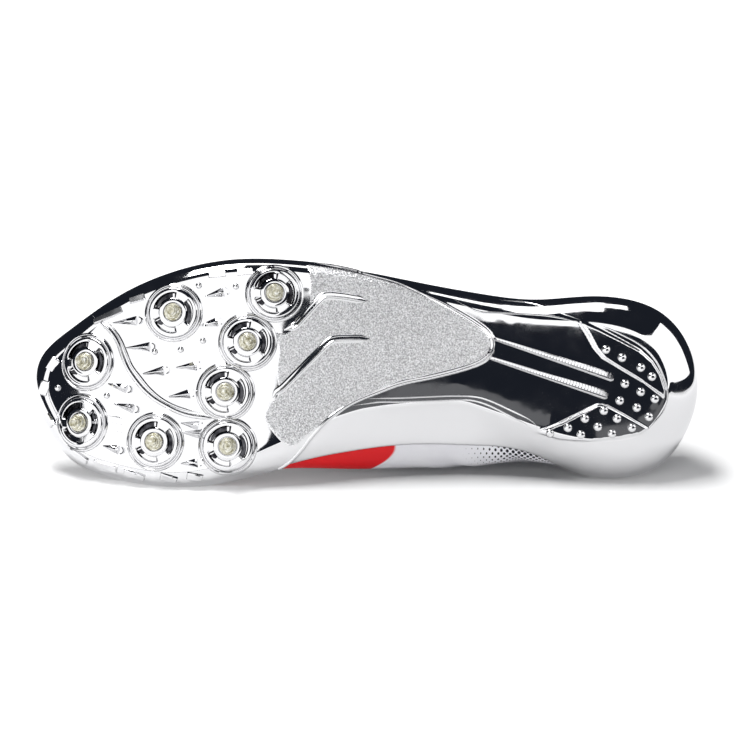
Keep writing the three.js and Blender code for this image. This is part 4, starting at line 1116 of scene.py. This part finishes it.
def tongue_loop(row, shift, narrow, thin=1.0):
    steps = np.linspace(-1, 1, 25)
    face = [instep(row, narrow * a, top_off - (1 - thin) * TONGUE_WALL / 2) + shift for a in steps]
    back = [instep(row, narrow * a, top_off - TONGUE_WALL * (1 + thin) / 2) + shift for a in steps[::-1]]
    return face + back


rings = [tongue_loop(rows[0], raised, 0.44, 0.3), tongue_loop(rows[0], raised * 0.93, 0.50, 0.8),
         tongue_loop(rows[0], raised * 0.8, 0.52)]
rings += [tongue_loop(rows[0], sunk + (raised - sunk) * share, 0.53) for share in (0.55, 0.3)]
rings += [tongue_loop(row, sunk * max(0.0, 1 - i / 3), narrowing[i]) for i, row in enumerate(rows)]
rings.append(tongue_loop(rows[-1], tucked, 0.85))
tongue = piece("tongue_pad", [loft(rings)], TONGUE_CLOTH, 60)
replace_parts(tongue, "tongue")

# The lace: flat crossings over the throat, and at each eyelet a turn down towards it
LACE_SECTION = pairs(-0.92, -0.6, -0.75, -1, 0.75, -1, 0.92, -0.6, 1, 0, 0.92, 0.6, 0.75, 1, 0.3, 1.12,
                     -0.3, 1.12, -0.75, 1, -0.92, 0.6, -1, 0)


def lace_run(row_from, row_to, sign, over):
    loops = []
    for s in np.linspace(-0.10, 1.10, 29):
        def at(t, more):
            inner = min(max(t, 0.0), 1.0)
            rise = over * 0.95 * LACE_WALL * math.sin(math.pi * inner) ** 2
            reach = -LACE_REACH + 2 * LACE_REACH * t
            off = LACE_LIFT + LACE_WALL / 2 + rise + more
            beyond = max(0.0, -t, t - 1.0)
            return instep(row_from + (row_to - row_from) * inner, sign * reach, off - 60 * beyond**1.5)
        point = at(s, 0.0)
        along = unit(at(s + 0.03, 0.0) - at(s - 0.03, 0.0))
        across = unit(np.cross(along, at(s, 1.0) - point))
        up = np.cross(across, along)
        end = smooth(max(0.0, -s, s - 1.0) / 0.1)
        width = LACE_WIDTH * (1 - 0.45 * end)
        loops.append([point + across * a * width / 2 + up * b * LACE_WALL / 2 for a, b in LACE_SECTION])
    return loft(loops)


runs = [lace_run(EYELETS[-1], EYELETS[-1], 1, 0)]
for start, end in zip(EYELETS, EYELETS[1:]):
    runs += [lace_run(start, end, 1, 0), lace_run(start, end, -1, 1)]
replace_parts(piece("lace_runs", runs, LACE, 50), "lace")

# Eyelets: a plated ring on the stay, and a disc of painted shade for the opening
EYELET_RING = pairs(2.1, -1.6, 2.1, 0.6, 2.3, 0.9, 2.7, 1, 3.1, 0.9, 3.3, 0.6, 3.3, -0.4, 2.6, -0.8)
EYELET_SHADE_DISC = pairs(2.25, 0.2, 2.2, 0.6, 0.01, 0.62)
spots = [(last_point(row, EYELET_LEVEL), last_normal(row, EYELET_LEVEL))
         for eyelet in EYELETS for row in (eyelet, RIBS - eyelet)]
piece("eyelet_rings", [turned(EYELET_RING, *spot, 32, closed=True) for spot in spots], CHROME)
piece("eyelet_shade_discs", [turned(EYELET_SHADE_DISC, *spot, 24) for spot in spots], EYELET_HOLE_SHADE)

# The floor, which glows more with the distance from the waist: its glow is painted light, and its dimmest
# part under the waist is a painted contact shadow
FLOOR_HALF = 4.5
floor_mesh = bpy.data.meshes.new("studio_floor")
corners = [(x * FLOOR_HALF, y * FLOOR_HALF, 0) for x, y in ((-1, -1), (1, -1), (1, 1), (-1, 1))]
floor_mesh.from_pydata(corners, [], [(0, 1, 2, 3)])
floor = bpy.data.objects.new("studio_floor", floor_mesh)
scene.collection.objects.link(floor)
paper = Look("studio_white", (0.9, 0.9, 0.9), 0.0, 0.9)
from_waist = paper.math("DISTANCE", paper.place, (0.05, 0, 0), "VectorMath")
glow = paper.ramp(from_waist, [(at, (level,) * 3) for at, level in pairs(0.03, 0.015, 0.085, 0.2, 0.7, 1)])
paper.set(Emission_Color=(1, 1, 1, 1), Emission_Strength=glow)
floor_mesh.materials.append(paper.material)

world = bpy.data.worlds.new("studio_room")
world.use_nodes = True
world.node_tree.nodes["Background"].inputs["Color"].default_value = (0.015, 0.018, 0.026, 1)
world.node_tree.nodes["Background"].inputs["Strength"].default_value = 1.0
scene.world = world
scene.view_settings.view_transform = "Standard"

# Softboxes: name, place, aim, width, height, strength, and whether they light matt faces too
for name, place, aim, width, height, strength, is_diffuse in [
    ("front_card", (-0.54, -1.0, 0.39), (-0.2, 0.0, 0.05), 1.40, 0.72, 1.65, True),
    ("overhead", (-0.36, 0.0, 1.4), (-0.30, 0.0, 0.0), 1.2, 0.40, 16.5, True),
    ("waist_strip", (-0.03, 0.46, 1.4), (-0.03, 0.46, 0.0), 0.62, 0.52, 2.4, False),
    ("waist_side", (0.40, 0.50, 1.4), (0.40, 0.50, 0.0), 0.24, 0.26, 2.4, False),
    ("heel_card", (0.36, -0.075, 0.205), (0.11, -0.02, 0.08), 0.30, 0.25, 1.75, False),
    ("heel_top", (0.215, -0.309, 0.346), (0.11, -0.02, 0.06), 0.36, 0.13, 1.75, False),
    ("low_grey", (0.60, -1.0, 0.13), (0.1, 0.0, 0.05), 0.7, 0.26, 0.16, False),
]:
    data = bpy.data.lights.new(name, "AREA")
    data.shape = "RECTANGLE"
    data.size, data.size_y = width, height
    data.energy = strength * width * height * math.pi
    card = bpy.data.objects.new(name, data)
    scene.collection.objects.link(card)
    card.location = place
    card.rotation_euler = (Vector(aim) - Vector(place)).to_track_quat("-Z", "Y").to_euler()
    card.visible_diffuse = is_diffuse

# The camera looks down at the shoe's middle, a little rolled and shifted in its plane
CAMERA_ELEVATION, CAMERA_ROLL = math.radians(14), math.radians(1.0)
CAMERA_DISTANCE = 1.5
SHIFT_RIGHT, SHIFT_DOWN = 0.00365, 0.00558
low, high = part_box("outsole")
low_upper, high_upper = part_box("upper")
centre = Vector([(min(a, b) + max(c, d)) / 2 for a, b, c, d in zip(low, low_upper, high, high_upper)])
forward = Vector((0, math.cos(CAMERA_ELEVATION), -math.sin(CAMERA_ELEVATION)))
level_right = Vector((1, 0, 0))
level_up = level_right.cross(forward)
right = level_right * math.cos(CAMERA_ROLL) + level_up * math.sin(CAMERA_ROLL)
up = level_up * math.cos(CAMERA_ROLL) - level_right * math.sin(CAMERA_ROLL)
camera_data = bpy.data.cameras.new("photo_camera")
camera_data.sensor_width = 36
camera_data.lens = 172.5
camera = bpy.data.objects.new("photo_camera", camera_data)
scene.collection.objects.link(camera)
turn = Matrix([[right[i], up[i], -forward[i]] for i in range(3)]).to_4x4()
place = centre - forward * CAMERA_DISTANCE + right * SHIFT_RIGHT - up * SHIFT_DOWN
camera.matrix_world = Matrix.Translation(place) @ turn
scene.camera = camera
